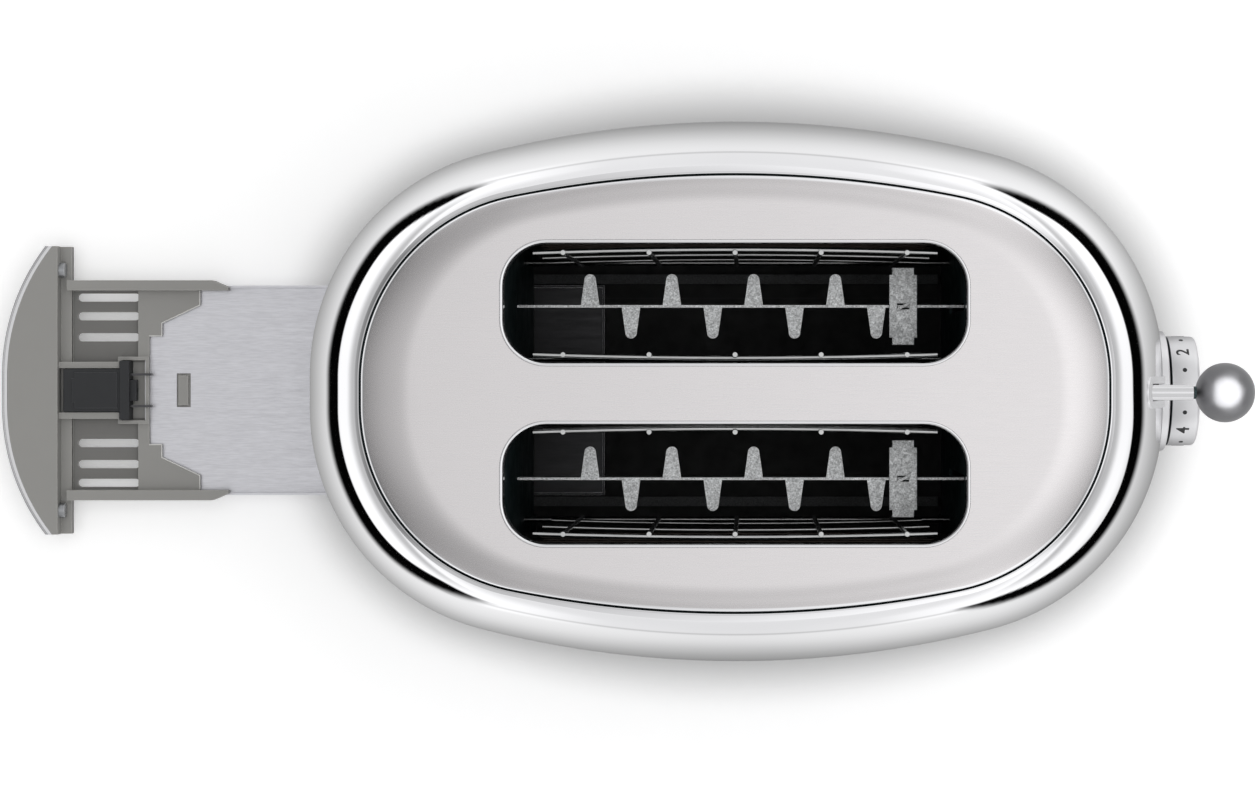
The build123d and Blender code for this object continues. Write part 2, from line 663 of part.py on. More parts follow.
def lifter_blade(slot_y):
    bottom = BLADE_TOP_Z - BLADE_HEIGHT
    half = PLATE / 2
    end_x = CARRIAGE_X - SEAT
    blade = block(BLADE_TRAY_END_X, end_x, slot_y - half, slot_y + half, bottom, BLADE_TOP_Z)
    blade += block(end_x - PLATE, end_x, slot_y - half, slot_y + BLADE_FOOT, bottom, BLADE_TOP_Z)
    for index in range(TAB_COUNT):
        x = TAB_FIRST_X + index * TAB_PITCH
        blade += tab(x, 1, slot_y)
        blade += tab(x + TAB_PITCH / 2, -1, slot_y)
    seat_z = BLADE_TOP_Z - PLATE - SEAT
    strap_half = STRAP_WIDTH / 2 + RUN
    notch = Pos(STRAP_X, slot_y, seat_z + STRAP_LIP / 2) * Box(2 * strap_half, 2, STRAP_LIP)
    slit_length = STRAP_SLIT[0]
    neck_height = BLADE_TOP_Z + SEAT - seat_z + 1
    neck = Box(slit_length - 3 * PLATE, PLATE, neck_height)
    blade = blade - notch + Pos(STRAP_X, slot_y, seat_z - 1 + neck_height / 2) * neck
    twisted = Rot(0, 0, STRAP_TWIST) * Box(slit_length - PLATE, PLATE, STRAP_KEY_HEIGHT)
    return blade + Pos(STRAP_X, slot_y, BLADE_TOP_Z + SEAT + STRAP_KEY_HEIGHT / 2) * twisted


def blade_strap(slot_y):
    """Cross strap that sits in the blade's notch, with narrowed ends turned down."""
    z0 = BLADE_TOP_Z - PLATE
    half = STRAP_LENGTH / 2
    shoulder = half - STRAP_SHOULDER
    wide = STRAP_WIDTH / 2
    narrow = wide - STRAP_NECK
    strap = block(STRAP_X - wide, STRAP_X + wide, -shoulder, shoulder, z0, BLADE_TOP_Z)
    strap += block(STRAP_X - narrow, STRAP_X + narrow, -half, half, z0, BLADE_TOP_Z)
    strap += both_sides(
        block(STRAP_X - narrow, STRAP_X + narrow, half - PLATE, half, z0 - STRAP_LIP, BLADE_TOP_Z)
    )
    strap -= Pos(STRAP_X, 0, BLADE_TOP_Z) * Box(STRAP_SLIT[0] - 2 * PLATE, STRAP_SLIT[1], 4)
    return Pos(0, slot_y, 0) * strap


def carriage_plate():
    x1 = CARRIAGE_X + CARRIAGE_THICK
    low = BLADE_TOP_Z - BLADE_HEIGHT - CARRIAGE_THICK
    plate = wide_block(CARRIAGE_X, x1, CARRIAGE_WIDTH / 2, low, BLADE_TOP_Z)
    plate += wide_block(CARRIAGE_X, x1, GUIDE_ROD_Y + BUSH_R, CARRIAGE_BOTTOM_Z, CARRIAGE_TOP_Z)
    return plate


def carriage_bushes():
    bush = post(BUSH_R, BUSH_X, GUIDE_ROD_Y, BUSH_BOTTOM_Z, BUSH_BOTTOM_Z + BUSH_LENGTH)
    bush -= post(GUIDE_ROD_R + PIVOT_FIT, BUSH_X, GUIDE_ROD_Y, 0, BODY_HEIGHT)
    return both_sides(bush)


def guide_rods():
    top = BRIDGE_Z + BRIDGE_THICK
    return both_sides(post(GUIDE_ROD_R, BUSH_X, GUIDE_ROD_Y, ROD_FOOT_Z, top))


def rod_bridge():
    """Upper plate that holds the guide rods and stops the carriage."""
    x0 = END_PLATE_X + END_PLATE + SEAT
    x1 = BUSH_X + BUSH_R + ROD_EDGE
    half = GUIDE_ROD_Y + BUSH_R
    bridge = wide_block(x0, x1, half, BRIDGE_Z, BRIDGE_Z + BRIDGE_THICK)
    bridge += wide_block(x0, x0 + BRIDGE_THICK, half, BRIDGE_Z, BRIDGE_Z + BRIDGE_FLANGE)
    return bridge - both_sides(post(GUIDE_ROD_R + SEAT, BUSH_X, GUIDE_ROD_Y, 0, BODY_HEIGHT))


def rod_foot():
    x0 = END_PLATE_X + END_PLATE + SEAT
    x1 = BUSH_X + BUSH_R + ROD_EDGE
    foot = wide_block(x0, x1, GUIDE_ROD_Y + BUSH_R, ROD_FOOT_Z, ROD_FOOT_Z + ROD_FOOT_THICK)
    return foot - both_sides(post(GUIDE_ROD_R + SEAT, BUSH_X, GUIDE_ROD_Y, 0, BODY_HEIGHT))


def lift_spring():
    """Coil spring around one guide rod, at its outer form."""
    z0 = ROD_FOOT_Z + ROD_FOOT_THICK + SEAT
    inner = GUIDE_ROD_R + SPRING_ROOM
    spring = post(inner + SPRING_WALL, BUSH_X, GUIDE_ROD_Y, z0, BUSH_BOTTOM_Z - SEAT)
    return spring - post(inner, BUSH_X, GUIDE_ROD_Y, 0, BODY_HEIGHT)


def armature():
    x0 = CARRIAGE_X
    x1 = BUSH_X + MAGNET_R
    return wide_block(x0, x1, ARMATURE_WIDTH / 2, ARMATURE_Z, ARMATURE_Z + ARMATURE_THICK)


def magnet_coil():
    z1 = CORE_TOP_Z - MAGNET_END
    coil = post(MAGNET_R, BUSH_X, 0, z1 - MAGNET_LENGTH, z1)
    return coil - post(CORE_R + SEAT, BUSH_X, 0, 0, BODY_HEIGHT)


def magnet_core():
    """Iron core on its bracket, which stands on the rod foot."""
    z0 = ROD_FOOT_Z + ROD_FOOT_THICK + SEAT
    yoke_z = CORE_TOP_Z - MAGNET_LENGTH - MAGNET_END - SEAT
    back_x = BUSH_X - MAGNET_R
    core = post(CORE_R, BUSH_X, 0, yoke_z - 1, CORE_TOP_Z)
    core += wide_block(back_x, BUSH_X + MAGNET_R, MAGNET_R, yoke_z - MAGNET_END, yoke_z)
    core += wide_block(back_x, back_x + MAGNET_END, MAGNET_R, z0, yoke_z)
    return core


def lever_handle():
    """Ball and stem, one plated piece screwed to the carriage."""
    stem = bar(LEVER_STEM_R, CARRIAGE_X + CARRIAGE_THICK + SEAT, BALL_X, 0, LEVER_Z)
    return stem + Pos(BALL_X, 0, LEVER_Z) * Sphere(BALL_R)


def lever_surround():
    """Liner of the lever slot, which follows the end wall."""
    low = LEVER_LOW_Z - SURROUND_WIDTH / 2
    end_x = BODY_LENGTH / 2
    width = SURROUND_WIDTH - 2 * SEAT
    liner = oblong(width, low + SEAT, SURROUND_TOP_Z - SEAT, CARRIAGE_X, end_x + 4)
    liner &= Pos(SURROUND_PROUD, 0, 0) * OUTER_FORM
    liner -= Pos(-SHELL_WALL - SURROUND_PROUD, 0, 0) * OUTER_FORM
    half = LEVER_SLOT_WIDTH / 2
    return liner - oblong(
        LEVER_SLOT_WIDTH, LEVER_LOW_Z - half, LEVER_Z + half, CARRIAGE_X, end_x + 5
    )


def control_board():
    x1 = BOARD_X + BOARD_THICK
    return wide_block(BOARD_X, x1, BOARD_WIDTH / 2, BOARD_BOTTOM_Z, BOARD_TOP_Z)


def board_stands():
    """Two posts on the base pan, slotted for the board."""
    x0 = BOARD_X - STAND_WALL
    x1 = BOARD_X + BOARD_THICK + STAND_WALL
    outer = BOARD_WIDTH / 2
    top = BOARD_BOTTOM_Z + STAND_GRIP
    stand = block(x0, x1, outer - STAND_WIDTH, outer, PAN_TOP_Z + SEAT, top)
    slot_z = BOARD_BOTTOM_Z - SEAT
    stand -= block(BOARD_X - SEAT, BOARD_FRONT_X, 0, BOARD_WIDTH, slot_z, BOARD_TOP_Z)
    return both_sides(stand)


def dial_encoder():
    half = POT_SIZE / 2
    body = wide_block(BOARD_FRONT_X, BOARD_FRONT_X + POT_DEPTH, half, KNOB_Z - half, KNOB_Z + half)
    end_x = BOARD_FRONT_X + POT_DEPTH + 1
    return body - bar(SHAFT_R + PIVOT_FIT, BOARD_FRONT_X + POT_BOTTOM, end_x, 0, KNOB_Z)


def key_switches():
    half = SWITCH_SIZE / 2
    switches = Part()
    x1 = BOARD_FRONT_X + SWITCH_DEPTH
    for y, z in button_places():
        switches += block(BOARD_FRONT_X, x1, y - half, y + half, z - half, z + half)
    return switches


def button_guides():
    """Plates with a hole for each button stem, on legs that stand on the board."""
    x0 = (BOARD_FRONT_X + BUTTON_CAP_X) / 2 + GUIDE_PLATE
    reach_z = BUTTON_PITCH_Z / 2 + BUTTON_R
    half = BUTTON_STEM_R + GUIDE_MARGIN
    guides = Part()
    for y in (-BUTTON_Y, BUTTON_Y):
        plate = block(x0, x0 + GUIDE_PLATE, y - half, y + half, KNOB_Z - reach_z, KNOB_Z + reach_z)
        for z in (KNOB_Z - reach_z, KNOB_Z + reach_z - GUIDE_PLATE):
            plate += block(BOARD_FRONT_X, x0 + 1, y - half, y + half, z, z + GUIDE_PLATE)
        guides += plate
    for y, z in button_places():
        guides -= bar(BUTTON_STEM_R + PIVOT_FIT, BOARD_FRONT_X, BUTTON_CAP_X, y, z)
    return guides


def knob_bezel():
    """Flat trim ring seated on the curved end wall."""
    front = KNOB_FRONT_X - KNOB_DEPTH - RUN
    bezel = bar(BEZEL_R, front - BEZEL_DEPTH, front, 0, KNOB_Z) - Pos(SEAT, 0, 0) * OUTER_FORM
    return bezel - bar(SHAFT_R + SHAFT_ROOM, 0, BODY_LENGTH, 0, KNOB_Z)


def browning_knob():
    back = KNOB_FRONT_X - KNOB_DEPTH
    knob = bar(KNOB_R, back, KNOB_FRONT_X, 0, KNOB_Z)
    knob -= bar(KNOB_R - KNOB_WALL, back - 1, KNOB_FRONT_X - KNOB_WALL, 0, KNOB_Z)
    knob += bar(SHAFT_R + KNOB_WALL, back, KNOB_FRONT_X - 1, 0, KNOB_Z)
    knob -= bar(SHAFT_R + SEAT, back - 1, KNOB_FRONT_X - KNOB_WALL, 0, KNOB_Z)
    front_edges = [edge for edge in knob.edges() if abs(edge.center().X - KNOB_FRONT_X) < SEAT]
    return chamfer(front_edges, KNOB_EDGE)


def knob_shaft():
    start = BOARD_FRONT_X + POT_BOTTOM + SEAT
    return bar(SHAFT_R, start, KNOB_FRONT_X - KNOB_WALL - SEAT, 0, KNOB_Z)


def push_button(y, z):
    """Button whose cap is cut level with the end wall, just below its surface."""
    across = abs(y) - END_HALF_FLAT
    turn = math.asin(across / CORNER_R)
    centre_x = BODY_LENGTH / 2 - CORNER_R
    reach = CORNER_R - RUN - inset_at(z, END_CURVE)
    y_side = math.copysign(1, y)
    normal = Vector(math.cos(turn), y_side * math.sin(turn), 0)
    face_point = Vector(centre_x, y_side * END_HALF_FLAT, z) + normal * reach
    cap = bar(BUTTON_R, BUTTON_CAP_X, BODY_LENGTH / 2 + BUTTON_R, y, z)
    size = 8 * BUTTON_R
    cap -= Plane(origin=face_point, z_dir=normal) * Pos(0, 0, size / 2) * Box(size, size, size)
    stem_x = BOARD_FRONT_X + SWITCH_DEPTH + BUTTON_TRAVEL + RUN
    return cap + bar(BUTTON_STEM_R, stem_x, BUTTON_CAP_X + 1, y, z)


def skirt_form(inset):
    """The base ring's outer form, drawn in by an inset, over the tray's height."""
    slope = (RING_BOTTOM_INSET - RING_TOP_INSET) / (RING_BEAD_Z - RING_BOTTOM_Z)
    low = RING_TOP_INSET + slope * (RING_BEAD_Z - TRAY_Z) + inset
    high = RING_TOP_INSET + slope * (RING_BEAD_Z - TRAY_TOP_Z) + inset
    return tapered(low, TRAY_Z, high, TRAY_TOP_Z)


def pull_out(shape):
    """Carry a piece of the crumb tray from its closed place to its pulled-out place."""
    return Pos(-TRAY_TRAVEL, 0, 0) * shape


def tray_front_cover():
    half = TRAY_WIDTH / 2
    front = wide_block(-BODY_LENGTH, TRAY_WALL_X - TRAY_COVER, half, TRAY_Z, TRAY_TOP_Z)
    cover = (skirt_form(0) - skirt_form(TRAY_COVER)) & front
    grip = wide_block(-BODY_LENGTH, TRAY_BACK_X, GRIP_HALF_WIDTH, TRAY_Z - 1, TRAY_TOP_Z - GRIP_LIP)
    cover -= grip - skirt_form(GRIP_DEPTH)
    return pull_out(cover)


def tray_plate_sheet(margin):
    """Flat of the tray plate, from under the deck to its far end."""
    x0 = DECK_X + POCKET_WALL - margin
    x1 = TRAY_PLATE_END_X + margin
    top = TRAY_PLATE_Z + PLATE + margin
    return wide_block(x0, x1, TRAY_PLATE_Y + margin, TRAY_PLATE_Z - margin, top)


def tray_plate():
    plate = tray_plate_sheet(0)
    inner = TRAY_PLATE_Y - PLATE
    top = TRAY_PLATE_Z + TRAY_FLANGE
    flange_x = RAIL_END_X + 1
    plate += both_sides(block(flange_x, TRAY_PLATE_END_X, inner, TRAY_PLATE_Y, TRAY_PLATE_Z, top))
    plate += wide_block(TRAY_PLATE_END_X - PLATE, TRAY_PLATE_END_X, TRAY_PLATE_Y, TRAY_PLATE_Z, top)
    length, width = WINDOW_SIZE
    return pull_out(plate - Pos(WINDOW_X, 0, TRAY_PLATE_Z) * Box(length, width, 2 * TRAY_FLANGE))


def tray_deck():
    """Stepped apron that overlaps the steel plate."""
    far, middle, near = [TRAY_END_X + end for end in DECK_STEP_ENDS]
    outer, between, inner = DECK_STEP_YS
    edge = [(DECK_X - 1, RAIL_OUTER_Y), (far, RAIL_OUTER_Y), (far, outer)]
    edge += [(middle, between), (middle, inner), (near, inner)]
    points = edge + [(x, -y) for x, y in reversed(edge)]
    top = TRAY_PLATE_Z + PLATE + SEAT
    outline = make_face(Polyline(points, close=True))
    return Pos(0, 0, top) * extrude(outline, DECK_THICK, dir=(0, 0, 1))


def tray_handle():
    """Hollow bar behind the chrome front."""
    half = TRAY_WIDTH / 2
    wall = TRAY_MOULD_WALL
    outer = wide_block(-BODY_LENGTH, TRAY_WALL_X, half, TRAY_Z, TRAY_TOP_Z)
    inner = wide_block(-BODY_LENGTH, TRAY_WALL_X - wall, half - wall, TRAY_Z - 1, TRAY_TOP_Z - wall)
    return skirt_form(TRAY_COVER + SEAT) & outer - (skirt_form(2 * TRAY_COVER) & inner)


def tray_rails():
    """Two side rails with a tapered tip."""
    inner_y = RAIL_OUTER_Y - RAIL_WIDTH
    rail = block(TRAY_BACK_X - 1, RAIL_END_X, inner_y, RAIL_OUTER_Y, TRAY_Z, TRAY_Z + RAIL_HEIGHT)
    tip = rail.edges().filter_by(Axis.Z).group_by(Axis.X)[-1].sort_by(Axis.Y)[-1]
    return both_sides(chamfer(tip, *RAIL_TIP))


def latch_bay():
    """Walls beside the latch cartridge, and the pocket for its cross flange."""
    wall_y = CASE_HALF_WIDTH + RUN
    top = TRAY_TOP_Z - CENTRE_WALL_DROP
    bay = both_sides(block(TRAY_WALL_X, CASE_END_X, wall_y, wall_y + CENTRE_WALL, TRAY_Z, top))
    half = CASE_FLANGE_HALF_WIDTH + RUN + POCKET_WALL
    return bay + wide_block(CASE_END_X - POCKET_WALL, pocket_end(), half, TRAY_Z, CASE_Z + POCKET_RISE)


def pocket_end():
    return TRAY_END_X + DECK_STEP_ENDS[-1]


def latch_room():
    """Space that the cartridge, its flange and its tongue take out of the frame."""
    floor = TRAY_Z + FLOOR_THICK
    flange_y = CASE_FLANGE_HALF_WIDTH + RUN
    room = wide_block(CASE_END_X, pocket_end() - POCKET_WALL, flange_y, floor, TRAY_TOP_Z)
    wall_y = CASE_HALF_WIDTH + RUN
    return room + wide_block(CASE_START_X - RUN, CASE_END_X + 1, wall_y, floor, TRAY_TOP_Z)


def window_key():
    """Raised key of the frame that shows in the steel plate's window."""
    length, width = WINDOW_SIZE
    x0 = WINDOW_X - length / 2 + WINDOW_GAP
    x1 = WINDOW_X + length / 2 - WINDOW_GAP
    return wide_block(x0, x1, width / 2 - WINDOW_GAP, TRAY_Z, TRAY_PLATE_Z + 2 * PLATE)


def tray_frame():
    """Grey moulding: handle, vented floor, apron, rails and latch pocket."""
    half = TRAY_WIDTH / 2
    floor_y = RAIL_OUTER_Y - 1
    frame = tray_handle()
    frame += wide_block(TRAY_WALL_X - 1, TRAY_BACK_X, half, TRAY_Z, TRAY_Z + TRAY_SHELF_HEIGHT)
    frame += wide_block(TRAY_BACK_X - 1, DECK_X + 1, floor_y, TRAY_Z, TRAY_Z + FLOOR_THICK)
    frame += wide_block(DECK_X - 1, WINDOW_X + 5, CASE_HALF_WIDTH, TRAY_Z, TRAY_PLATE_Z - SEAT)
    frame += wide_block(DECK_X - 1, DECK_X, floor_y, TRAY_Z, TRAY_PLATE_Z + PLATE + 1)
    frame += tray_deck() + tray_rails() + latch_bay()
    frame -= latch_room()
    frame -= tray_plate_sheet(SEAT)
    frame += window_key()
    for y in VENT_YS:
        slot = Pos(VENT_X, y, TRAY_Z - 1) * extrude(SlotOverall(VENT_LENGTH, VENT_WIDTH), FLOOR_THICK + 2)
        frame -= both_sides(slot)
    return pull_out(frame - both_sides(tray_screw_hole()))


def tray_screw_hole():
    start = TRAY_WALL_X - SCREW_REACH - SEAT
    return bar(SCREW_SHANK_R + SEAT, start, TRAY_BACK_X, TRAY_SCREW_Y, tray_screw_z())


def tray_screw_z():
    return TRAY_Z + TRAY_SHELF_HEIGHT + SCREW_HEAD_R + SEAT


def tray_screws():
    z = tray_screw_z()
    face = TRAY_WALL_X + SEAT
    screw = bar(SCREW_HEAD_R, face, face + SCREW_HEAD_HEIGHT, TRAY_SCREW_Y, z)
    screw += bar(SCREW_SHANK_R, face - SCREW_REACH, face + 1, TRAY_SCREW_Y, z)
    return pull_out(both_sides(screw))


def tongue_block(margin, x0, x1):
    z0 = CASE_Z + (CASE_HEIGHT - TONGUE_THICK) / 2
    half = TONGUE_HALF_WIDTH + margin
    return wide_block(x0, x1, half, z0 - margin, z0 + TONGUE_THICK + margin)


def latch_case():
    """Cartridge with a cross flange at its mouth."""
    top = CASE_Z + CASE_HEIGHT
    end = CASE_END_X + CASE_FLANGE
    case = wide_block(CASE_START_X, CASE_END_X + 1, CASE_HALF_WIDTH, CASE_Z, top)
    case += wide_block(
        CASE_END_X + SEAT, end, CASE_FLANGE_HALF_WIDTH, CASE_Z, top + CASE_FLANGE_RISE
    )
    case -= tongue_block(2 * SEAT, CASE_START_X + CASE_BACK_WALL, end + 1)
    return pull_out(case)


def latch_tongue():
    """Plunger that the striker pushes in when the tray is closed."""
    start = CASE_START_X + CASE_BACK_WALL + LATCH_TRAVEL + RUN
    return pull_out(tongue_block(0, start, CASE_END_X + CASE_FLANGE + TONGUE_REACH))


def latch_springs():
    """Two wire legs that reach from the latch over the apron's edge."""
    x0 = CASE_END_X + CASE_FLANGE + SEAT
    x1 = x0 + LATCH_WIRE_LENGTH
    z = CASE_Z + LATCH_WIRE_RISE
    wire = 2 * LATCH_WIRE_R
    y0 = LATCH_WIRE_Y - LATCH_WIRE_R
    leg = block(x0, x1, y0, y0 + wire, z - LATCH_WIRE_R, z + LATCH_WIRE_R)
    leg += block(x1 - wire, x1, y0, y0 + wire, z - LATCH_WIRE_HOOK, z)
    return pull_out(both_sides(leg))


def tray_striker():
    """Bracket on the chamber's tray end, with a tooth that meets the closed tray's latch."""
    wall_x = -END_PLATE_X - END_PLATE - SEAT
    tooth_x = CASE_END_X + CASE_FLANGE + TONGUE_REACH + RUN
    half = TONGUE_HALF_WIDTH - 1
    z = TRAY_TOP_Z + 2 * RUN
    thick = STRIKER_THICK
    striker = wide_block(tooth_x, wall_x, half, z, z + thick)
    striker += wide_block(wall_x - thick, wall_x, half, z, z + STRIKER_RISE)
    return striker + wide_block(tooth_x, tooth_x + thick, half, CASE_Z + TONGUE_THICK, z + thick)


def tray_guides():
    """Angle rails on the base pan that hold the tray's sides."""
    y0 = RAIL_OUTER_Y + 2 * RUN
    y1 = y0 + GUIDE_WALL
    top = TRAY_Z + RAIL_HEIGHT + RUN
    guide = block(TRAY_BACK_X, TRAY_PLATE_END_X, y0, y1, PAN_TOP_Z + SEAT, top + 1)
    guide += block(TRAY_BACK_X, TRAY_PLATE_END_X, y0 - GUIDE_LIP, y1, top, top + 1)
    return both_sides(guide)


def all_parts():
    """Every piece under the name that its file takes."""
    parts = {
        "body_shell": body_shell(),
        "top_panel": top_panel(),
        "base_ring": base_ring(),
        "base_pan": base_pan(),
        "rubber_feet": rubber_feet(),
        "cord_gland": cord_gland(),
        "lever_end_plate": lever_end_plate(),
        "tray_end_plate": tray_end_plate(),
        "centre_reflector": centre_reflector(),
        "carriage_plate": carriage_plate(),
        "carriage_bushes": carriage_bushes(),
        "guide_rods": guide_rods(),
        "rod_bridge": rod_bridge(),
        "rod_foot": rod_foot(),
        "lift_spring": lift_spring(),
        "armature": armature(),
        "magnet_coil": magnet_coil(),
        "magnet_core": magnet_core(),
        "lever_handle": lever_handle(),
        "lever_surround": lever_surround(),
        "control_board": control_board(),
        "board_stands": board_stands(),
        "dial_encoder": dial_encoder(),
        "key_switches": key_switches(),
        "button_guides": button_guides(),
        "knob_bezel": knob_bezel(),
        "browning_knob": browning_knob(),
        "knob_shaft": knob_shaft(),
        "tray_frame": tray_frame(),
        "tray_front_cover": tray_front_cover(),
        "tray_plate": tray_plate(),
        "tray_screws": tray_screws(),
        "latch_case": latch_case(),
        "latch_tongue": latch_tongue(),
        "latch_springs": latch_springs(),
        "tray_striker": tray_striker(),
        "tray_guides": tray_guides(),
    }
    for side, name in ((-1, "front"), (1, "rear")):
        parts[f"{name}_reflector"] = side_reflector(side)
        parts[f"{name}_lifter_blade"] = lifter_blade(side * SLOT_Y)
        parts[f"{name}_blade_strap"] = blade_strap(side * SLOT_Y)
    for index, (y, facing) in enumerate(heater_places(), 1):
        parts[f"heater_card_{index}"] = heater_card(y)
        parts[f"heater_ribbon_{index}"] = heater_ribbon(y, facing)
    for index, place in enumerate(pivot_places(), 1):
        parts[f"bread_guard_{index}"] = guard(*place)
    for index, (y, z) in enumerate(button_places(), 1):
        parts[f"push_button_{index}"] = push_button(y, z)
    return parts


os.makedirs("parts", exist_ok=True)
for node, shape in all_parts().items():
    solids = shape.solids()
    whole = solids[0] if len(solids) == 1 else Compound(children=list(solids))
    export_step(whole, f"parts/{node}.step")
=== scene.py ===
import math

import bmesh
import bpy
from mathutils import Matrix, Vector


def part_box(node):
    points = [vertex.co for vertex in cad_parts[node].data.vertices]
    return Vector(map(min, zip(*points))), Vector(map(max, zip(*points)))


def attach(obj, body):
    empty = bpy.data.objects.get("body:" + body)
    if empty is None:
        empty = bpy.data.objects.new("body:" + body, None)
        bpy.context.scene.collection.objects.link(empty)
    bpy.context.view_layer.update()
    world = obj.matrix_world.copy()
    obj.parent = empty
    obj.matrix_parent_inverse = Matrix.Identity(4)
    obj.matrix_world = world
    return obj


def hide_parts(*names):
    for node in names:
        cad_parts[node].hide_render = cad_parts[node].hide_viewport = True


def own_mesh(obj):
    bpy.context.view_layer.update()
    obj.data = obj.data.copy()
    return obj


# The looks of the two-slot toaster. Sizes are written in millimetres in the same
# frame as the part, and become metres where a mesh is made.

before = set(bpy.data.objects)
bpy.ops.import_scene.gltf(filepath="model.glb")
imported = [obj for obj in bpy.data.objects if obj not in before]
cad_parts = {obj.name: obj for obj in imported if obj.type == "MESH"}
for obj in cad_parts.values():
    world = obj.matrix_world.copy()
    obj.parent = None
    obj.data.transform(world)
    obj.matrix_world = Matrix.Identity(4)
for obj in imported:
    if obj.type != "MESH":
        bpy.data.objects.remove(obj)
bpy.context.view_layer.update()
MM = 0.001
LARGE_FACE = 40 * MM * MM
HOUSING = "housing"

# Body form, as in the part's source
BODY_LENGTH = 310.0
BODY_WIDTH = 196.8
BODY_HEIGHT = 197.0
WIDEST_Z = 30.0
CORNER_R = 0.4217 * BODY_WIDTH
CORNER_DRAW = 0.8
END_HALF_FLAT = 6.2
END_FLAT_DRAW = 0.085
END_CURVE = (457.0, 28.0)
SIDE_CURVE = (600.0, 18.0)
SHELL_BOTTOM_Z = 20.0
SHELL_WALL = 1.6
SEAM_END_INSET = 34.0
SEAM_SIDE_INSET = 27.8
SEAM_GAP = 0.4
LEDGE_TOP_Z = 189.35
LEDGE_WIDTH = 7.0
LEDGE_THICK = 1.4
PANEL_SHEET = 1.2
PANEL_RIM_WIDTH = 3.0
SLOT_LENGTH = 148.4
SLOT_WIDTH = 38.2
SLOT_CORNER_R = 13.8
SLOT_Y = 29.0
SLOT_LIP_DEPTH = 6.5
SKIRT_TOP_Z = 18.35
SKIRT_FOOT_Z = 5.2
BEAD_INSET = 1.8
BEAD_TOP_Z = 19.95

# Edges and divisions; a flat end starts at a small share of its width, a turned one at a
# small radius
ROUND_STEPS = 256
MIDDLE_SHARE = 0.02
AXIS_R = 0.02
SHELL_LEVELS = 60
LINING_LEVELS = 12
PANEL_LEVELS = 16
SHELL_EDGE = 0.7
SHELL_EDGE_DROP = 0.8
PANEL_EDGE = 1.3
PANEL_SEAT_GAP = 0.05
PANEL_HOLLOW_DEPTH = 4.0
SLOT_RIM = 1.2

# Lever, knob and buttons
LEVER_Z = 147.5
LEVER_TRAVEL = 62.0
LEVER_STEM_R = 2.6
LEVER_NECK_R = 2.1
BALL_R = 10.0
BALL_X = 164.2
BALL_STEPS = 48
CARRIAGE_FACE_X = 88.05
SURROUND_WIDTH = 10.9
SURROUND_PROUD = 0.6
SURROUND_RISE = 9.0
SURROUND_EDGE = 0.45
LEVER_SLOT_WIDTH = 5.8
LEVER_CUT_WIDTH = 11.0
KNOB_Z = 52.0
KNOB_R = 20.0
KNOB_FRONT_X = 167.1
KNOB_DEPTH = 10.6
KNOB_WALL = 2.5
KNOB_HUB_R = 6.0
KNOB_STEPS = 128
BEZEL_R = 21.9
BEZEL_GAP = 0.7
BEZEL_THICK = 3.6
BEZEL_HOLE_R = 6.1
BEZEL_EDGE = 0.9
SHAFT_HOLE_R = 7.0
BUTTON_HOLE_R = 6.3
BUTTON_Y = 37.0
BUTTON_PITCH_Z = 24.0
HOLES_FROM_X = 120.0

# Print on the knob's rim, with a step of the dial in degrees
DIAL_STEP = 45.0
DIAL_MIDDLE = 0.46
DIGIT_SIZE = 6.5
DOT_R = 0.8
PRINT_PROUD = 0.03
PRINT_DEPTH = 0.4

# Lift spring
COIL_TURNS = 24
COIL_TURN_STEPS = 20
COIL_WIRE_R = 0.38

# Guards
GUARD_OFFSET = 16.5
GUARD_WIRE_R = 0.8
GUARD_PIVOT_R = 1.0
GUARD_PIVOT_Z = 68.0
GUARD_PIVOT_REACH = 3.0
GUARD_TOP_Z = 187.0
GUARD_PITCH = 27.8
GUARD_UPRIGHTS = 5
GUARD_RAIL_LENGTH = 131.0
GUARD_RAIL_BOW = 2.3
GUARD_RAIL_STEPS = 24
GUARD_RAILS_Z = (90.0, 137.0, 184.0)
END_PLATE_X = 76.6

# Edges rounded over the CAD shapes, with the least angle in degrees that counts as one
SHEET_EDGE = 0.18
MOULDED_EDGE = 0.25
CASE_EDGE = 0.3
EDGE_ANGLE = 30.0
FLAT_ANGLE = 1.5

# Crumb tray, pulled out
TRAY_PULLED = 126.0
TRAY_HALF_WIDTH = 54.4
TRAY_GRIP_HALF = 45.0
TRAY_GRIP_DEPTH = 1.2
TRAY_BOTTOM_Z = 7.0
TRAY_TOP_Z = 18.0
TRAY_FRONT_STEPS = 60
SKIRT_TOP_INSET = 3.5
SKIRT_SLOPE = 0.12
MOUTH_X = (-180.0, -110.0)
MOUTH_HALF = 54.9
APRON_TOP_Z = 11.25
APRON_EDGE = ((-203.9, 37.6), (-203.9, 32.3), (-218.3, 25.5), (-218.3, 20.6), (-223.0, 20.6))
APRON_HIGHLIGHT_R = 0.28
CASE_TOP_Z = 16.2

# Studio: the camera, the floor, and the height of each reflection card
CAMERA_PLACE = Vector((5.45, 6.9, 1198.0))
CAMERA_LENS = 89.8
CAMERA_SHIFT = (-0.0992, -0.0179)
FLOOR_RINGS = (-40, -20, -10, -4, *range(0, 34, 3), 60, 200, 1000, 4000)
FLOOR_SHADE = 0.55
FLOOR_SHADE_REACH = (-2, 27)
FLOOR_GLOW = 0.2
LOW_CARD_Z = 19.5
LOW_CARD_BEYOND = 0.92
SHOULDER_CARD_Z = 158.0
FLATTEST_BOUNCE = -0.06
OUTERMOST = 25

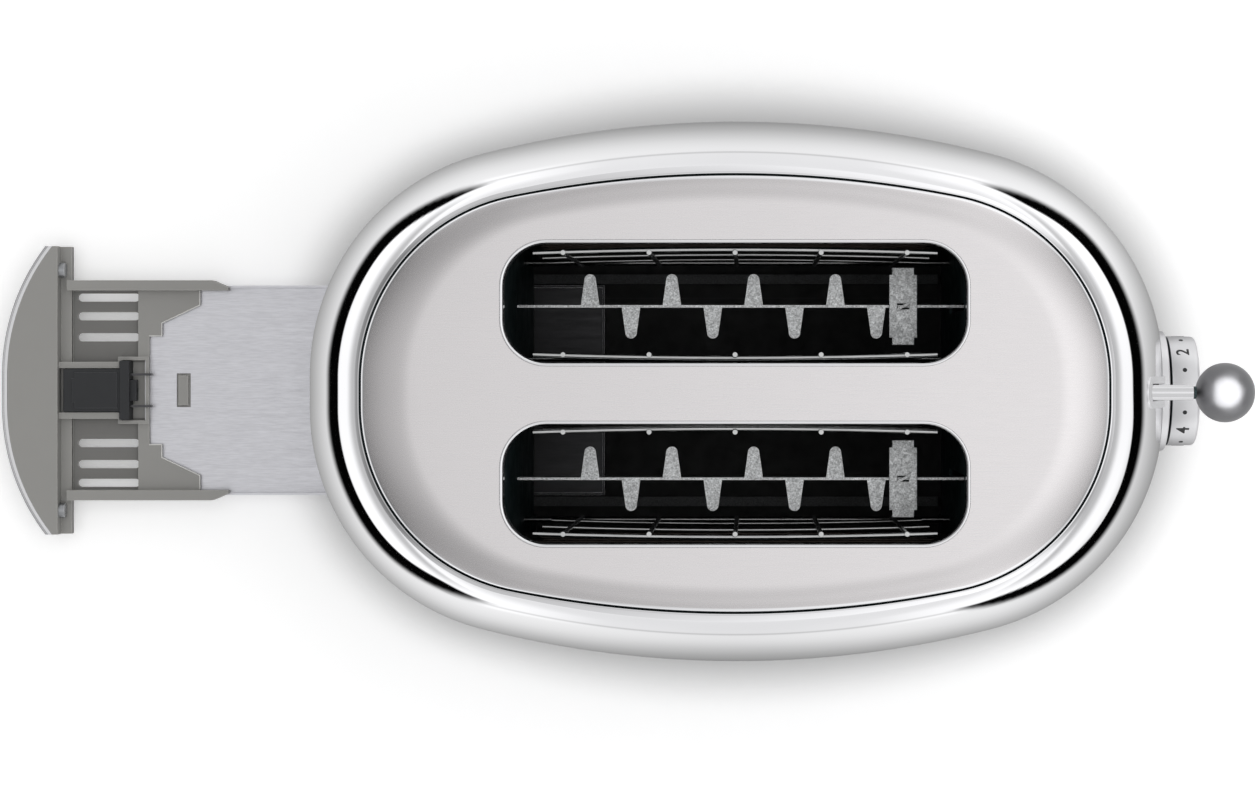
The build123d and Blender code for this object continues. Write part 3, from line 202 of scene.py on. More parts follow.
# Heights on the shell at which the cards are mirrored, and their lightness by that
# height, with the directions and widths of the glints in degrees
LOW_HEIGHTS = [95 + 2.5 * step for step in range(26)]
SHOULDER_HEIGHTS = [SHOULDER_CARD_Z + 0.5 * step for step in range(1, 74)]
CARD_FOOT = 0.32
CARD_RISES = ((95, 145, 0.18), (128, 186, 0.42))
CARD_GLINTS = ((25, 13, 0.3), (155, 14, 0.1), (270, 35, -0.12), (0, 12, -0.1), (205, 14, 0.08))
CORNER_GLINT = 0.12
GLINT_FADE = 0.5
GLINT_FADE_Z = (150, 178)
END_GLOW = 0.25
END_GLOW_Z = (178, 184)
END_GLOW_START = (0.45, 0.8)
END_SHADE = 0.5
END_SHADE_Z = (186.5, 189.3)
END_START = (0.77, 0.88)
SIDE_LINE = 0.3
SIDE_LINE_Z = 184.6
SIDE_LINE_WIDTH = 0.8
SIDE_LINE_STOP = (0.7, 0.85)
BAND_TOP_Z = 181.3
BAND_RISE = 5.2
BAND_RISE_START = (0.06, 0.17)
BAND_DIP = (342, 13, -3.5)
BAND_LONGER = (318, 14, 0.05)
BAND_START = (0.73, 0.92)
BAND_WIDTH = 16.5
BAND_FULL_WIDTH = 3
BAND_BLUR = 5
BAND_EDGE = 0.4
BAND_LEVEL = 0.001
FAR_SHADE = 0.55

# Lightness of the sky from the horizon to overhead, and its dip toward the long sides
END_SKY = ((0.0, 0.6), (0.05, 0.5), (0.12, 0.4), (0.26, 0.42), (0.42, 0.62), (0.75, 0.88), (0.96, 1.0))
SIDE_SKY = ((0.0, 0.95), (0.35, 0.85), (0.6, 0.62), (0.85, 0.78), (0.97, 1.0))
SIDE_DIP = ((0.0, 1.0), (0.1, 0.98), (0.2, 0.9), (0.34, 0.76), (0.5, 0.74), (0.7, 1.0))
SIDE_START = (0.6, 0.8)
SKY_STRENGTHS = (0.66, 1.32)


def inset_at(z, curve, wall=0.0):
    """How far the body has drawn in at a height."""
    barrel_r, shoulder_r = curve
    centre_z = BODY_HEIGHT - shoulder_r
    rise = centre_z - WIDEST_Z
    between = barrel_r - shoulder_r
    centre_inset = barrel_r - math.sqrt(between**2 - rise**2)
    meeting_z = WIDEST_Z + rise * (barrel_r - wall) / between
    if z <= meeting_z:
        return barrel_r - math.sqrt((barrel_r - wall) ** 2 - (z - WIDEST_Z) ** 2)
    return centre_inset - math.sqrt(max((shoulder_r - wall) ** 2 - (z - centre_z) ** 2, 0.0))


def oval_reach(direction, end_inset, side_inset):
    """Distance from the middle to the oval along a level direction."""
    half_x = BODY_LENGTH / 2 - end_inset
    half_y = BODY_WIDTH / 2 - side_inset
    corner = CORNER_R - CORNER_DRAW * side_inset
    flat = END_HALF_FLAT - END_FLAT_DRAW * side_inset
    corner_x = half_x - corner
    drop = half_y - flat - corner
    side = (corner_x**2 + (drop + corner) ** 2 - corner**2) / (2 * drop)
    turn = math.atan2(flat - half_y + side, corner_x)
    across = abs(math.cos(direction))
    up = abs(math.sin(direction))
    if up * half_x <= flat * across:
        return half_x / across
    meet_x = corner_x + corner * math.cos(turn)
    meet_y = flat + corner * math.sin(turn)
    if up * meet_x <= meet_y * across:
        centre_x, centre_y, radius = corner_x, flat, corner
    else:
        centre_x, centre_y, radius = 0.0, half_y - side, side
    along = centre_x * across + centre_y * up
    return along + math.sqrt(along**2 - centre_x**2 - centre_y**2 + radius**2)


def form_reach(direction, z, wall=0.0):
    return oval_reach(direction, inset_at(z, END_CURVE, wall), inset_at(z, SIDE_CURVE, wall))


def narrowed(low, high, test):
    """Closes in on the value at which a test stops being true."""
    for _ in range(40):
        middle = (low + high) / 2
        if test(middle):
            low = middle
        else:
            high = middle
    return low, high


def form_height(direction, reach):
    """Height at which the body's surface stands at a distance from the middle."""
    low, high = narrowed(WIDEST_Z, BODY_HEIGHT, lambda z: form_reach(direction, z) > reach)
    return (low + high) / 2


def end_wall_x(y, z):
    """Where the lever end's wall stands at a place across and up."""
    end_inset = inset_at(z, END_CURVE)
    side_inset = inset_at(z, SIDE_CURVE)
    corner = CORNER_R - CORNER_DRAW * side_inset
    flat = END_HALF_FLAT - END_FLAT_DRAW * side_inset
    half_x = BODY_LENGTH / 2 - end_inset
    beyond = max(abs(y) - flat, 0.0)
    return half_x - corner + math.sqrt(corner**2 - beyond**2)


DIRECTIONS = [
    math.atan2(BODY_WIDTH * math.sin(turn), BODY_LENGTH * math.cos(turn))
    for turn in (2 * math.pi * step / ROUND_STEPS for step in range(ROUND_STEPS))
]


def oval_reaches(end_inset, side_inset):
    return [oval_reach(direction, end_inset, side_inset) for direction in DIRECTIONS]


def form_reaches(heights, wall=0.0):
    return [form_reach(direction, z, wall) for direction, z in zip(DIRECTIONS, heights)]


def form_heights(reaches, beyond=0.0):
    return [form_height(direction, reach + beyond) for direction, reach in zip(DIRECTIONS, reaches)]


def colour(red, green, blue):
    """A screen colour of 0 to 255 as Blender's linear colour."""
    parts = []
    for level in (red, green, blue):
        share = level / 255
        parts.append(share / 12.92 if share <= 0.04045 else ((share + 0.055) / 1.055) ** 2.4)
    return (*parts, 1.0)


def shade(tone, factor):
    return (*[min(level * factor, 1.0) for level in tone[:3]], 1.0)


def grey(level):
    return (level, level, level, 1.0)


WHITE = grey(1.0)
BLACK = grey(0.0)
EVEN = (1.0, 1.0, 1.0)
NOISE_RANGE = (0.3, 0.7)
NOISE_DETAIL = 3.0
EDGE_RANGE = (0.8, 0.985)


class Nodes:
    """A node tree, with short ways to add what comes up again."""

    def __init__(self, tree):
        self.tree = tree

    def feed(self, node, inputs):
        """Gives a node's inputs their values, or the outputs that they come from."""
        for key, value in inputs.items():
            if isinstance(value, bpy.types.NodeSocket):
                self.tree.links.new(value, node.inputs[key])
            else:
                node.inputs[key].default_value = value
        return node

    def add(self, kind, inputs=None, **settings):
        node = self.tree.nodes.new(f"ShaderNode{kind}")
        for key, value in settings.items():
            setattr(node, key, value)
        return self.feed(node, inputs or {})

    def maths(self, operation, *values):
        return self.add("Math", dict(enumerate(values)), operation=operation).outputs[0]

    def axes(self, place):
        return self.add("SeparateXYZ", {"Vector": place}).outputs

    def spread(self, value, low, high, to_low=0.0, to_high=1.0):
        """Maps one range of values to another and holds the rest at its ends."""
        inputs = {"Value": value, "From Min": low, "From Max": high, "To Min": to_low, "To Max": to_high}
        return self.add("MapRange", inputs).outputs["Result"]

    def ramp(self, share, stops):
        node = self.add("ValToRGB", {"Fac": share})
        elements = node.color_ramp.elements
        while len(elements) < len(stops):
            elements.new(0.5)
        for element, (position, tone) in zip(elements, stops):
            element.position = position
            element.color = tone
        return node.outputs["Color"]

    def mixed(self, share, first, second, blend_type="MIX"):
        inputs = {"Fac": share, "Color1": first, "Color2": second}
        return self.add("MixRGB", inputs, blend_type=blend_type).outputs["Color"]

    def levels(self):
        """The grey levels that a mesh carries, as stored by grade."""
        return self.add("VertexColor", layer_name="level").outputs["Color"]


class Finish(Nodes):
    """A procedural material built up from a Principled shader."""

    def __init__(self, name, levels, rough, metallic=0.0):
        self.name = name
        self.material = bpy.data.materials.new(f"{name}_look")
        self.material.use_nodes = True
        super().__init__(self.material.node_tree)
        self.shader = self.tree.nodes["Principled BSDF"]
        self.tone = colour(*levels)
        self.rough = rough
        self.tint = None
        self.normal = None
        self.feed(self.shader, {"Base Color": self.tone, "Roughness": rough, "Metallic": metallic})
        self.place = self.add("TexCoord").outputs["Object"]

    def noise(self, scale, stretch):
        vector = self.add("Mapping", {"Vector": self.place, "Scale": stretch}).outputs["Vector"]
        inputs = {"Vector": vector, "Scale": scale, "Detail": NOISE_DETAIL}
        return self.add("TexNoise", inputs).outputs["Fac"]

    def blend(self, share, tones):
        """Adds a layer of colour: between two tones, multiplied with what is there."""
        layer = self.ramp(share, list(zip(NOISE_RANGE, tones)))
        self.tint = layer if self.tint is None else self.mixed(1.0, self.tint, layer, "MULTIPLY")
        return self

    def mottle(self, scale, amount, stretch=EVEN):
        """Slow changes of lightness."""
        base = self.tone if self.tint is None else WHITE
        return self.blend(self.noise(scale, stretch), (shade(base, 1 - amount), shade(base, 1 + amount)))

    def crystals(self, scale):
        """Faint crystals, each a little lighter or darker than the next."""
        cells = self.add("TexVoronoi", {"Vector": self.place, "Scale": scale}).outputs["Color"]
        return self.blend(cells, (shade(self.tone, 0.93), shade(self.tone, 1.05)))

    def wear_and_edge_highlight(self, tone, width=0.45):
        """Edges and corners in another tone, the width in millimetres: partly rubbed wear, partly a painted
        highlight along the edges.
        """
        rounded = self.add("Bevel", {"Radius": width * MM}, samples=4).outputs["Normal"]
        flat = self.add("NewGeometry").outputs["Normal"]
        match = self.add("VectorMath", {0: rounded, 1: flat}, operation="DOT_PRODUCT").outputs["Value"]
        edge = self.ramp(match, list(zip(EDGE_RANGE, (WHITE, BLACK))))
        self.tint = self.mixed(edge, self.tint, tone)
        return self

    def painted_recess_shade(self, low, high, left, beyond):
        """Painted shade in a recess: leaves a share of the colour below a height, and outside a distance
        from the middle, in metres.
        """
        axes = self.axes(self.place)
        middle = self.maths("LESS_THAN", self.maths("ABSOLUTE", axes["Y"]), beyond)
        lit = self.maths("MAXIMUM", self.spread(axes["Z"], low, high), middle)
        return self.blend(lit, (shade(WHITE, left), WHITE))

    def painted_shade_past(self, start, end, left):
        """Painted shade: leaves a share of the colour past a place along X, in metres."""
        return self.blend(self.spread(self.axes(self.place)["X"], start, end), (WHITE, shade(WHITE, left)))

    def dull(self, level):
        """Weaker mirror reflection, as on a matt moulding."""
        self.feed(self.shader, {"Specular IOR Level": level})
        return self

    def smudged(self, scale, amount, stretch=EVEN):
        """Smudges that change the roughness."""
        limits = (max(self.rough - amount, 0.0), self.rough + amount)
        smudge = self.spread(self.noise(scale, stretch), *NOISE_RANGE, *limits)
        self.feed(self.shader, {"Roughness": smudge})
        return self

    def relief(self, scale, depth, stretch=EVEN):
        """Fine surface texture, its depth in millimetres."""
        inputs = {"Distance": depth * MM, "Height": self.noise(scale, stretch)}
        self.normal = self.add("Bump", inputs).outputs["Normal"]
        return self

    def done(self):
        self.feed(self.shader, {"Base Color": self.tint})
        if self.normal is not None:
            self.feed(self.shader, {"Normal": self.normal})
        return self.material


def zinc(name, levels, metallic):
    """Zinc-coated sheet: a fine grain over faint crystals."""
    finish = Finish(name, levels, 0.46, metallic).crystals(700.0).mottle(1900.0, 0.6)
    return finish.smudged(900.0, 0.1).relief(2200.0, 0.01).wear_and_edge_highlight(shade(finish.tone, 1.2), 0.25)


FINISHES = [
    Finish("chrome", (236, 236, 238), 0.045, 1.0).mottle(18.0, 0.012).smudged(45.0, 0.02),
    Finish("satin_panel", (224, 221, 222), 0.27, 1.0)
    .mottle(9.0, 0.015).smudged(1800.0, 0.02, (0.08, 1, 1)).relief(3000.0, 0.0002, (0.06, 1, 1)),
    # The tray plate's part that lies inside the chamber is darkened as painted shade
    Finish("brushed_plate", (218, 218, 223), 0.36, 0.9)
    .mottle(2300.0, 0.07, (0.1, 1, 1)).painted_shade_past(-0.105, -0.085, 0.1).smudged(900.0, 0.06, (0.1, 1, 1))
    .relief(2300.0, 0.0007, (0.1, 1, 1)).wear_and_edge_highlight(colour(236, 236, 240), 0.2),
    zinc("galvanised", (240, 242, 243), 0.7),
    # chamber_steel is very dark: its own dull teal steel, darkened further as painted shade for the deep
    # chamber
    Finish("chamber_steel", (40, 58, 60), 0.55, 0.3)
    .mottle(25.0, 0.25).smudged(120.0, 0.1).relief(700.0, 0.02).wear_and_edge_highlight(colour(52, 58, 58)),
    Finish("bright_wire", (198, 199, 199), 0.2, 1.0)
    .mottle(120.0, 0.08).smudged(500.0, 0.07).relief(1800.0, 0.006),
    # The grey moulding's recessed deck is darkened below 10.6 mm as painted shade, except along the middle
    Finish("grey_plastic", (143, 142, 139), 0.5).mottle(14.0, 0.03).painted_recess_shade(0.0092, 0.0106, 0.58, 0.0106)
    .smudged(160.0, 0.06).relief(2600.0, 0.02).wear_and_edge_highlight(colour(176, 175, 171)),
    Finish("dark_plastic", (48, 49, 51), 0.5).dull(0.25)
    .mottle(22.0, 0.08).smudged(200.0, 0.07).relief(2400.0, 0.015).wear_and_edge_highlight(colour(88, 89, 91)),
    Finish("black_base", (30, 30, 31), 0.6)
    .mottle(20.0, 0.12).smudged(200.0, 0.08).relief(2100.0, 0.03).wear_and_edge_highlight(colour(58, 58, 60)),
    Finish("rubber", (40, 40, 41), 0.78)
    .mottle(60.0, 0.15).smudged(300.0, 0.06).relief(1500.0, 0.04).wear_and_edge_highlight(colour(70, 70, 70)),
    Finish("mica", (38, 37, 33), 0.45)
    .mottle(45.0, 0.25, (1, 1, 0.4)).smudged(90.0, 0.12).relief(500.0, 0.02).wear_and_edge_highlight(colour(84, 80, 70)),
    Finish("heater_ribbon", (78, 70, 66), 0.4, 1.0)
    .mottle(160.0, 0.2).smudged(400.0, 0.1).relief(1400.0, 0.01),
    Finish("board", (30, 84, 52), 0.42)
    .mottle(90.0, 0.14).smudged(300.0, 0.06).relief(1200.0, 0.02).wear_and_edge_highlight(colour(150, 156, 110)),
    Finish("copper", (186, 110, 70), 0.3, 1.0)
    .mottle(70.0, 0.12).smudged(300.0, 0.08).relief(1300.0, 0.12, (0.05, 0.05, 1)),
    Finish("iron", (120, 121, 124), 0.4, 1.0)
    .mottle(80.0, 0.12).smudged(240.0, 0.1).relief(1000.0, 0.02).wear_and_edge_highlight(colour(170, 171, 173)),
    Finish("zinc_screw", (176, 178, 181), 0.3, 1.0)
    .mottle(110.0, 0.1).smudged(400.0, 0.08).relief(1500.0, 0.01).wear_and_edge_highlight(colour(214, 215, 217)),
    Finish("satin_chrome", (224, 224, 226), 0.34, 1.0)
    .mottle(30.0, 0.02).smudged(400.0, 0.04).relief(2600.0, 0.0006),
    Finish("stem_chrome", (220, 220, 222), 0.1, 1.0).mottle(40.0, 0.03).smudged(300.0, 0.03),
    # The lever ball's satin chrome is darkened as painted shade, for the dim reflections it shows; its
    # bright crown comes from a lamp
    Finish("ball_chrome_with_painted_shade", (116, 116, 118), 0.36, 1.0).mottle(40.0, 0.02).smudged(300.0, 0.03),
    # A light tone for the thin wire that paints the highlight along the tray apron's edge
    Finish("painted_edge_highlight", (206, 206, 203), 0.4).mottle(60.0, 0.05).smudged(300.0, 0.06),
    # A dark zinc for the tray guides and striker: aged, and darkened as painted shade under the body
    zinc("aged_zinc_painted_shade", (84, 86, 88), 0.3),
    Finish("dark_wire", (88, 88, 90), 0.35, 1.0).mottle(200.0, 0.12).smudged(500.0, 0.08),
    Finish("dial_print", (30, 31, 33), 0.5).mottle(300.0, 0.1).relief(2500.0, 0.01),
]
LOOKS = {finish.name: finish.done() for finish in FINISHES}

# Pieces that look different from the rest of their slot: the tray guides and striker take zinc that is aged
# and darkened as painted shade
SPECIAL_LOOKS = {"tray_guides": "aged_zinc_painted_shade", "tray_striker": "aged_zinc_painted_shade", "latch_springs": "dark_wire"}

for name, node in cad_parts.items():
    for index, carried in enumerate(node.data.materials):
        node.data.materials[index] = LOOKS[SPECIAL_LOOKS.get(name, carried.name.split(".")[0])]


def settle(obj, slot, body, replaced=(), look=None, sharp=40.0):
    """Gives a finished mesh its material, smooth shading and the body that it rides on."""
    mesh = obj.data
    if not mesh.materials:
        mesh.materials.append(LOOKS[look or slot])
    for polygon in mesh.polygons:
        polygon.use_smooth = True
    mesh.set_sharp_from_angle(angle=math.radians(sharp))
    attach(obj, body)
    if replaced:
        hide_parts(*replaced)
    return obj


def new_object(name, data):
    obj = bpy.data.objects.new(name, data)
    bpy.context.scene.collection.objects.link(obj)
    return obj


def final_mesh(obj):
    """The mesh that an object comes to with its curves and modifiers worked out."""
    graph = bpy.context.evaluated_depsgraph_get()
    return bpy.data.meshes.new_from_object(obj.evaluated_get(graph))


def strips(name, rings, loop=False, caps=False):
    """Mesh object through rings of equally many points in millimetres."""
    count = len(rings[0])
    points = [tuple(value * MM for value in point) for ring in rings for point in ring]
    faces = []
    for row in range(len(rings) if loop else len(rings) - 1):
        start = row * count
        end = (row + 1) % len(rings) * count
        for step in range(count):
            after = (step + 1) % count
            faces.append((start + step, start + after, end + after, end + step))
    if caps:
        faces.append(tuple(range(count))[::-1])
        faces.append(tuple(range((len(rings) - 1) * count, len(rings) * count)))
    mesh = bpy.data.meshes.new(name)
    mesh.from_pydata(points, [], faces)
    work = bmesh.new()
    work.from_mesh(mesh)
    bmesh.ops.remove_doubles(work, verts=work.verts, dist=1e-6)
    bmesh.ops.recalc_face_normals(work, faces=work.faces)
    work.to_mesh(mesh)
    work.free()
    return new_object(name, mesh)


def level_ring(reaches, heights):
    """One point for each direction round the body, at one height or at a height each."""
    if not isinstance(heights, (list, tuple)):
        heights = [heights] * ROUND_STEPS
    ring = []
    for direction, reach, height in zip(DIRECTIONS, reaches, heights):
        ring.append((reach * math.cos(direction), reach * math.sin(direction), height))
    return ring


def cut(obj, cutters):
    """Takes the cutters' volume out of a closed mesh and removes them."""
    for cutter in cutters:
        modifier = obj.modifiers.new("cut", "BOOLEAN")
        modifier.operation = "DIFFERENCE"
        modifier.solver = "EXACT"
        modifier.object = cutter
    mesh = final_mesh(obj)
    obj.modifiers.clear()
    obj.data = mesh
    for cutter in cutters:
        bpy.data.objects.remove(cutter)


def bend(start, corner, end, steps=4):
    """Points of a rounded corner between two profile points."""
    points = []
    for step in range(steps + 1):
        share = step / steps
        weights = ((1 - share) ** 2, 2 * share * (1 - share), share**2)
        axes = zip(start, corner, end)
        points.append(tuple(sum(w * value for w, value in zip(weights, axis)) for axis in axes))
    return points


def rounded_rectangle(length, width, radius, steps=12):
    """Level outline of a rounded rectangle round the origin."""
    points = []
    for quarter in range(4):
        centre_x = (length / 2 - radius) * (1 if quarter in (0, 3) else -1)
        centre_y = (width / 2 - radius) * (1 if quarter in (0, 1) else -1)
        for step in range(steps + 1):
            turn = math.pi / 2 * (quarter + step / steps)
            points.append((centre_x + radius * math.cos(turn), centre_y + radius * math.sin(turn)))
    return points


def slot_ring(slot_y, grow, z):
    outline = rounded_rectangle(SLOT_LENGTH + 2 * grow, SLOT_WIDTH + 2 * grow, SLOT_CORNER_R + grow)
    return [(x, y + slot_y, z) for x, y in outline]


def repaint(obj, look, chosen):
    """Gives the faces that pass a test, by their centre in millimetres, another look."""
    obj.data.materials.append(LOOKS[look])
    index = len(obj.data.materials) - 1
    for polygon in obj.data.polygons:
        if chosen(polygon.center / MM):
            polygon.material_index = index


def turned(name, profile, axis_y, axis_z, steps=96, loop=False):
    """Solid of revolution about a line along X, from (x, radius) points; a loop leaves a hole."""
    rings = []
    for x, radius in profile:
        ring = []
        for step in range(steps):
            turn = 2 * math.pi * step / steps
            ring.append((x, axis_y + radius * math.cos(turn), axis_z + radius * math.sin(turn)))
        rings.append(ring)
    return strips(name, rings, loop, not loop)


def upright_oblong(name, width, low, high, x0, x1, steps=24):
    """Cutter with round ends, lying along X."""
    radius = width / 2
    outline = []
    for step in range(steps):
        turn = 2 * math.pi * (step + 0.5) / steps
        centre = high - radius if math.sin(turn) > 0 else low + radius
        outline.append((radius * math.cos(turn), centre + radius * math.sin(turn)))
    return strips(name, [[(x, y, z) for y, z in outline] for x in (x0, x1)], caps=True)


def edge_rings(rim, surface_z, edge, drop, steps):
    """Rings round an edge at the seam, from the body's surface beside it down into the seam."""
    rim_z = form_heights(rim)
    rings = []
    for step in range(1, steps + 1):
        points = []
        for reach, corner_z, z in zip(rim, rim_z, surface_z):
            corner = bend((reach + edge, z), (reach, corner_z), (reach, corner_z - drop), steps)
            points.append(corner[step])
        rings.append(level_ring(*zip(*points)))
    return rings


def body_shell():
    """Mirror shell with a rounded edge at the seam and a ledge for the panel."""
    seam = oval_reaches(SEAM_END_INSET, SEAM_SIDE_INSET)
    edge = form_heights(seam, SHELL_EDGE)
    rings = []
    for level in range(SHELL_LEVELS + 1):
        share = math.sin(math.pi / 2 * level / SHELL_LEVELS)
        heights = [SHELL_BOTTOM_Z + (top - SHELL_BOTTOM_Z) * share for top in edge]
        rings.append(level_ring(form_reaches(heights), heights))
    rings += edge_rings(seam, edge, SHELL_EDGE, SHELL_EDGE_DROP, 4)
    rings.append(level_ring(seam, LEDGE_TOP_Z))
    lip = oval_reaches(SEAM_END_INSET + LEDGE_WIDTH, SEAM_SIDE_INSET + LEDGE_WIDTH)
    rings.append(level_ring(lip, LEDGE_TOP_Z))
    under = LEDGE_TOP_Z - LEDGE_THICK
    rings.append(level_ring(lip, under))
    for level in range(LINING_LEVELS + 1):
        z = SHELL_BOTTOM_Z + (under - SHELL_BOTTOM_Z) * math.cos(math.pi / 2 * level / LINING_LEVELS)
        rings.append(level_ring(form_reaches([z] * ROUND_STEPS, SHELL_WALL), z))
    shell = strips("shell_skin", rings, loop=True)
    outside = BODY_LENGTH / 2 + 1
    low = LEVER_Z - LEVER_TRAVEL - LEVER_CUT_WIDTH / 2
    high = LEVER_Z + SURROUND_RISE
    cutters = [upright_oblong("lever_cut", LEVER_CUT_WIDTH, low, high, CARRIAGE_FACE_X, outside)]
    holes = [("shaft_cut", SHAFT_HOLE_R, 0.0, KNOB_Z)]
    for y in (-BUTTON_Y, BUTTON_Y):
        for z in (KNOB_Z - BUTTON_PITCH_Z / 2, KNOB_Z + BUTTON_PITCH_Z / 2):
            holes.append(("button_cut", BUTTON_HOLE_R, y, z))
    for name, radius, y, z in holes:
        cutters.append(turned(name, [(HOLES_FROM_X, radius), (outside, radius)], y, z, steps=48))
    cut(shell, cutters)
    settle(shell, "chrome", HOUSING, ["body_shell"])
    # Painted shade: the seam's wall, the ledge and the shell's inside take the dark chamber steel
    repaint(shell, "chamber_steel", behind_shell)


def within_seam(spot, margin):
    """True for a place that is further in than the seam's outer line by a margin."""
    direction = math.atan2(spot.y, spot.x)
    line = oval_reach(direction, SEAM_END_INSET + margin, SEAM_SIDE_INSET + margin)
    return math.hypot(spot.x, spot.y) < line


def behind_shell(spot):
    """True on the seam's wall, the ledge and the inside of the shell, which are painted dark as shade."""
    if spot.z > LEDGE_TOP_Z - 0.2:
        return within_seam(spot, -0.02)
    return math.hypot(spot.x, spot.y) < form_reach(math.atan2(spot.y, spot.x), spot.z, 0.5)


def top_panel():
    """Satin panel that curves down to a bright rounded edge in the seam."""
    rim = oval_reaches(SEAM_END_INSET + SEAM_GAP, SEAM_SIDE_INSET + SEAM_GAP)
    edge = form_heights(rim, -PANEL_EDGE)
    flat = form_reaches([BODY_HEIGHT] * ROUND_STEPS)
    rings = []
    for share in (MIDDLE_SHARE, 0.5, 0.97):
        rings.append(level_ring([reach * share for reach in flat], BODY_HEIGHT))
    for level in range(PANEL_LEVELS + 1):
        share = math.cos(math.pi / 2 * level / PANEL_LEVELS)
        heights = [z + (BODY_HEIGHT - z) * share for z in edge]
        rings.append(level_ring(form_reaches(heights), heights))
    rings += edge_rings(rim, edge, -PANEL_EDGE, PANEL_EDGE, 10)
    bottom = LEDGE_TOP_Z + PANEL_SEAT_GAP
    rings.append(level_ring(rim, bottom))
    inner = [reach - PANEL_RIM_WIDTH for reach in rim]
    rings.append(level_ring(inner, bottom))
    rings.append(level_ring(inner, BODY_HEIGHT - PANEL_HOLLOW_DEPTH))
    under = BODY_HEIGHT - PANEL_SHEET
    for share in (0.95, 0.5, MIDDLE_SHARE):
        rings.append(level_ring([reach * share for reach in flat], under))
    panel = strips("panel_sheet", rings, caps=True)
    cutters = []
    for slot_y in (-SLOT_Y, SLOT_Y):
        loops = [slot_ring(slot_y, SLOT_RIM, z) for z in (under - 5, BODY_HEIGHT + 5)]
        cutters.append(strips("slot_cut", loops, caps=True))
    cut(panel, cutters)
    settle(panel, "satin_panel", HOUSING, ["top_panel"], sharp=45.0)
    repaint(panel, "chrome", lambda spot: not within_seam(spot, SEAM_GAP + PANEL_EDGE))

    # Painted shade: the panel's edge wall down in the seam and its underside take the dark chamber steel
    def painted_seam_shade(spot):
        return not within_seam(spot, SEAM_GAP + 0.06) or spot.z < LEDGE_TOP_Z + 0.1

    repaint(panel, "chamber_steel", painted_seam_shade)


def slot_rim(name, slot_y):
    """Bright edge of a bread slot, rolled down into the chamber."""
    top = BODY_HEIGHT
    lip_z = top - SLOT_LIP_DEPTH
    profile = [(SLOT_RIM, lip_z), (SLOT_RIM, top - 0.25)]
    profile += bend((SLOT_RIM, top - 0.25), (SLOT_RIM - 0.05, top), (SLOT_RIM - 0.45, top))
    profile += bend((0.75, top), (0.0, top), (0.0, top - 1.1), 6)
    profile.append((0.0, lip_z))
    loops = [slot_ring(slot_y, grow, z) for grow, z in profile]
    settle(strips(name, loops, loop=True), "satin_panel", HOUSING, look="chrome")


def base_ring():
    """Chrome skirt and bead under the shell, open for the crumb tray."""
    profile = [(BEAD_INSET, SKIRT_TOP_Z), (BEAD_INSET, 19.6)]
    profile += bend((BEAD_INSET, 19.6), (BEAD_INSET, BEAD_TOP_Z), (2.3, BEAD_TOP_Z), 3)
    profile += [(5.4, BEAD_TOP_Z), (5.6, 8.0), (6.9, SKIRT_FOOT_Z)]
    profile += bend((5.6, SKIRT_FOOT_Z), (5.0, SKIRT_FOOT_Z), (4.95, 5.9), 3)
    profile += [(4.2, 11.5), (3.5, 18.0)]
    profile += bend((3.45, SKIRT_TOP_Z), (2.2, SKIRT_TOP_Z), (BEAD_INSET, 18.7), 2)
    rings = [level_ring(oval_reaches(inset, inset), z) for inset, z in profile]
    ring = strips("base_skirt", rings, loop=True)
    outer, inner = MOUTH_X
    corners = ((outer, -MOUTH_HALF), (inner, -MOUTH_HALF), (inner, MOUTH_HALF), (outer, MOUTH_HALF))
    mouth = [[(x, y, z) for x, y in corners] for z in (0, SKIRT_TOP_Z)]
    cut(ring, [strips("mouth_cut", mouth, caps=True)])
    settle(ring, "chrome", HOUSING, ["base_ring"])


def lever_handle():
    """Ball on a stem with a rounded end and a small neck."""
    face = CARRIAGE_FACE_X
    neck_x = BALL_X - math.sqrt(BALL_R**2 - (LEVER_STEM_R + 0.1) ** 2)
    stem = bend((face, LEVER_STEM_R - 0.6), (face, LEVER_STEM_R), (face + 0.6, LEVER_STEM_R))
    stem += [(neck_x - 1.2, LEVER_STEM_R), (neck_x - 1.0, LEVER_NECK_R), (neck_x + 0.8, LEVER_NECK_R)]
    rod = turned("lever_stem", stem, 0.0, LEVER_Z)
    settle(rod, "chrome", "carriage", look="stem_chrome", sharp=50.0)
    # Painted shade: the stem's neck where it meets the ball, and its end inside it, take the dark chamber
    # steel
    repaint(rod, "chamber_steel", lambda spot: spot.x > neck_x - 1.1)
    rod.visible_glossy = False
    ball = []
    first = math.asin(LEVER_NECK_R / BALL_R)
    for step in range(BALL_STEPS + 1):
        turn = first + (math.pi - first) * step / BALL_STEPS
        ball.append((BALL_X - BALL_R * math.cos(turn), max(BALL_R * math.sin(turn), AXIS_R)))
    grip = turned("lever_ball", ball, 0.0, LEVER_Z)
    return settle(grip, "chrome", "carriage", ["lever_handle"], "ball_chrome_with_painted_shade", sharp=50.0)


def oblong_on_wall(width, low, high, stand, steps=12):
    """Upright outline with round ends that follows the lever end's wall at a distance from it."""
    radius = width / 2
    ring = []
    for side, centre in ((1, high - radius), (-1, low + radius)):
        for step in range(steps + 1):
            turn = math.pi * step / steps
            ring.append((radius * math.cos(turn) * side, centre + radius * math.sin(turn) * side))
    points = []
    for (y, z), (next_y, next_z) in zip(ring, ring[1:] + ring[:1]):
        pieces = steps if abs(next_z - z) > 20 else 1
        for step in range(pieces):
            share = step / pieces
            place = (y + (next_y - y) * share, z + (next_z - z) * share)
            points.append((end_wall_x(*place) + stand, *place))
    return points


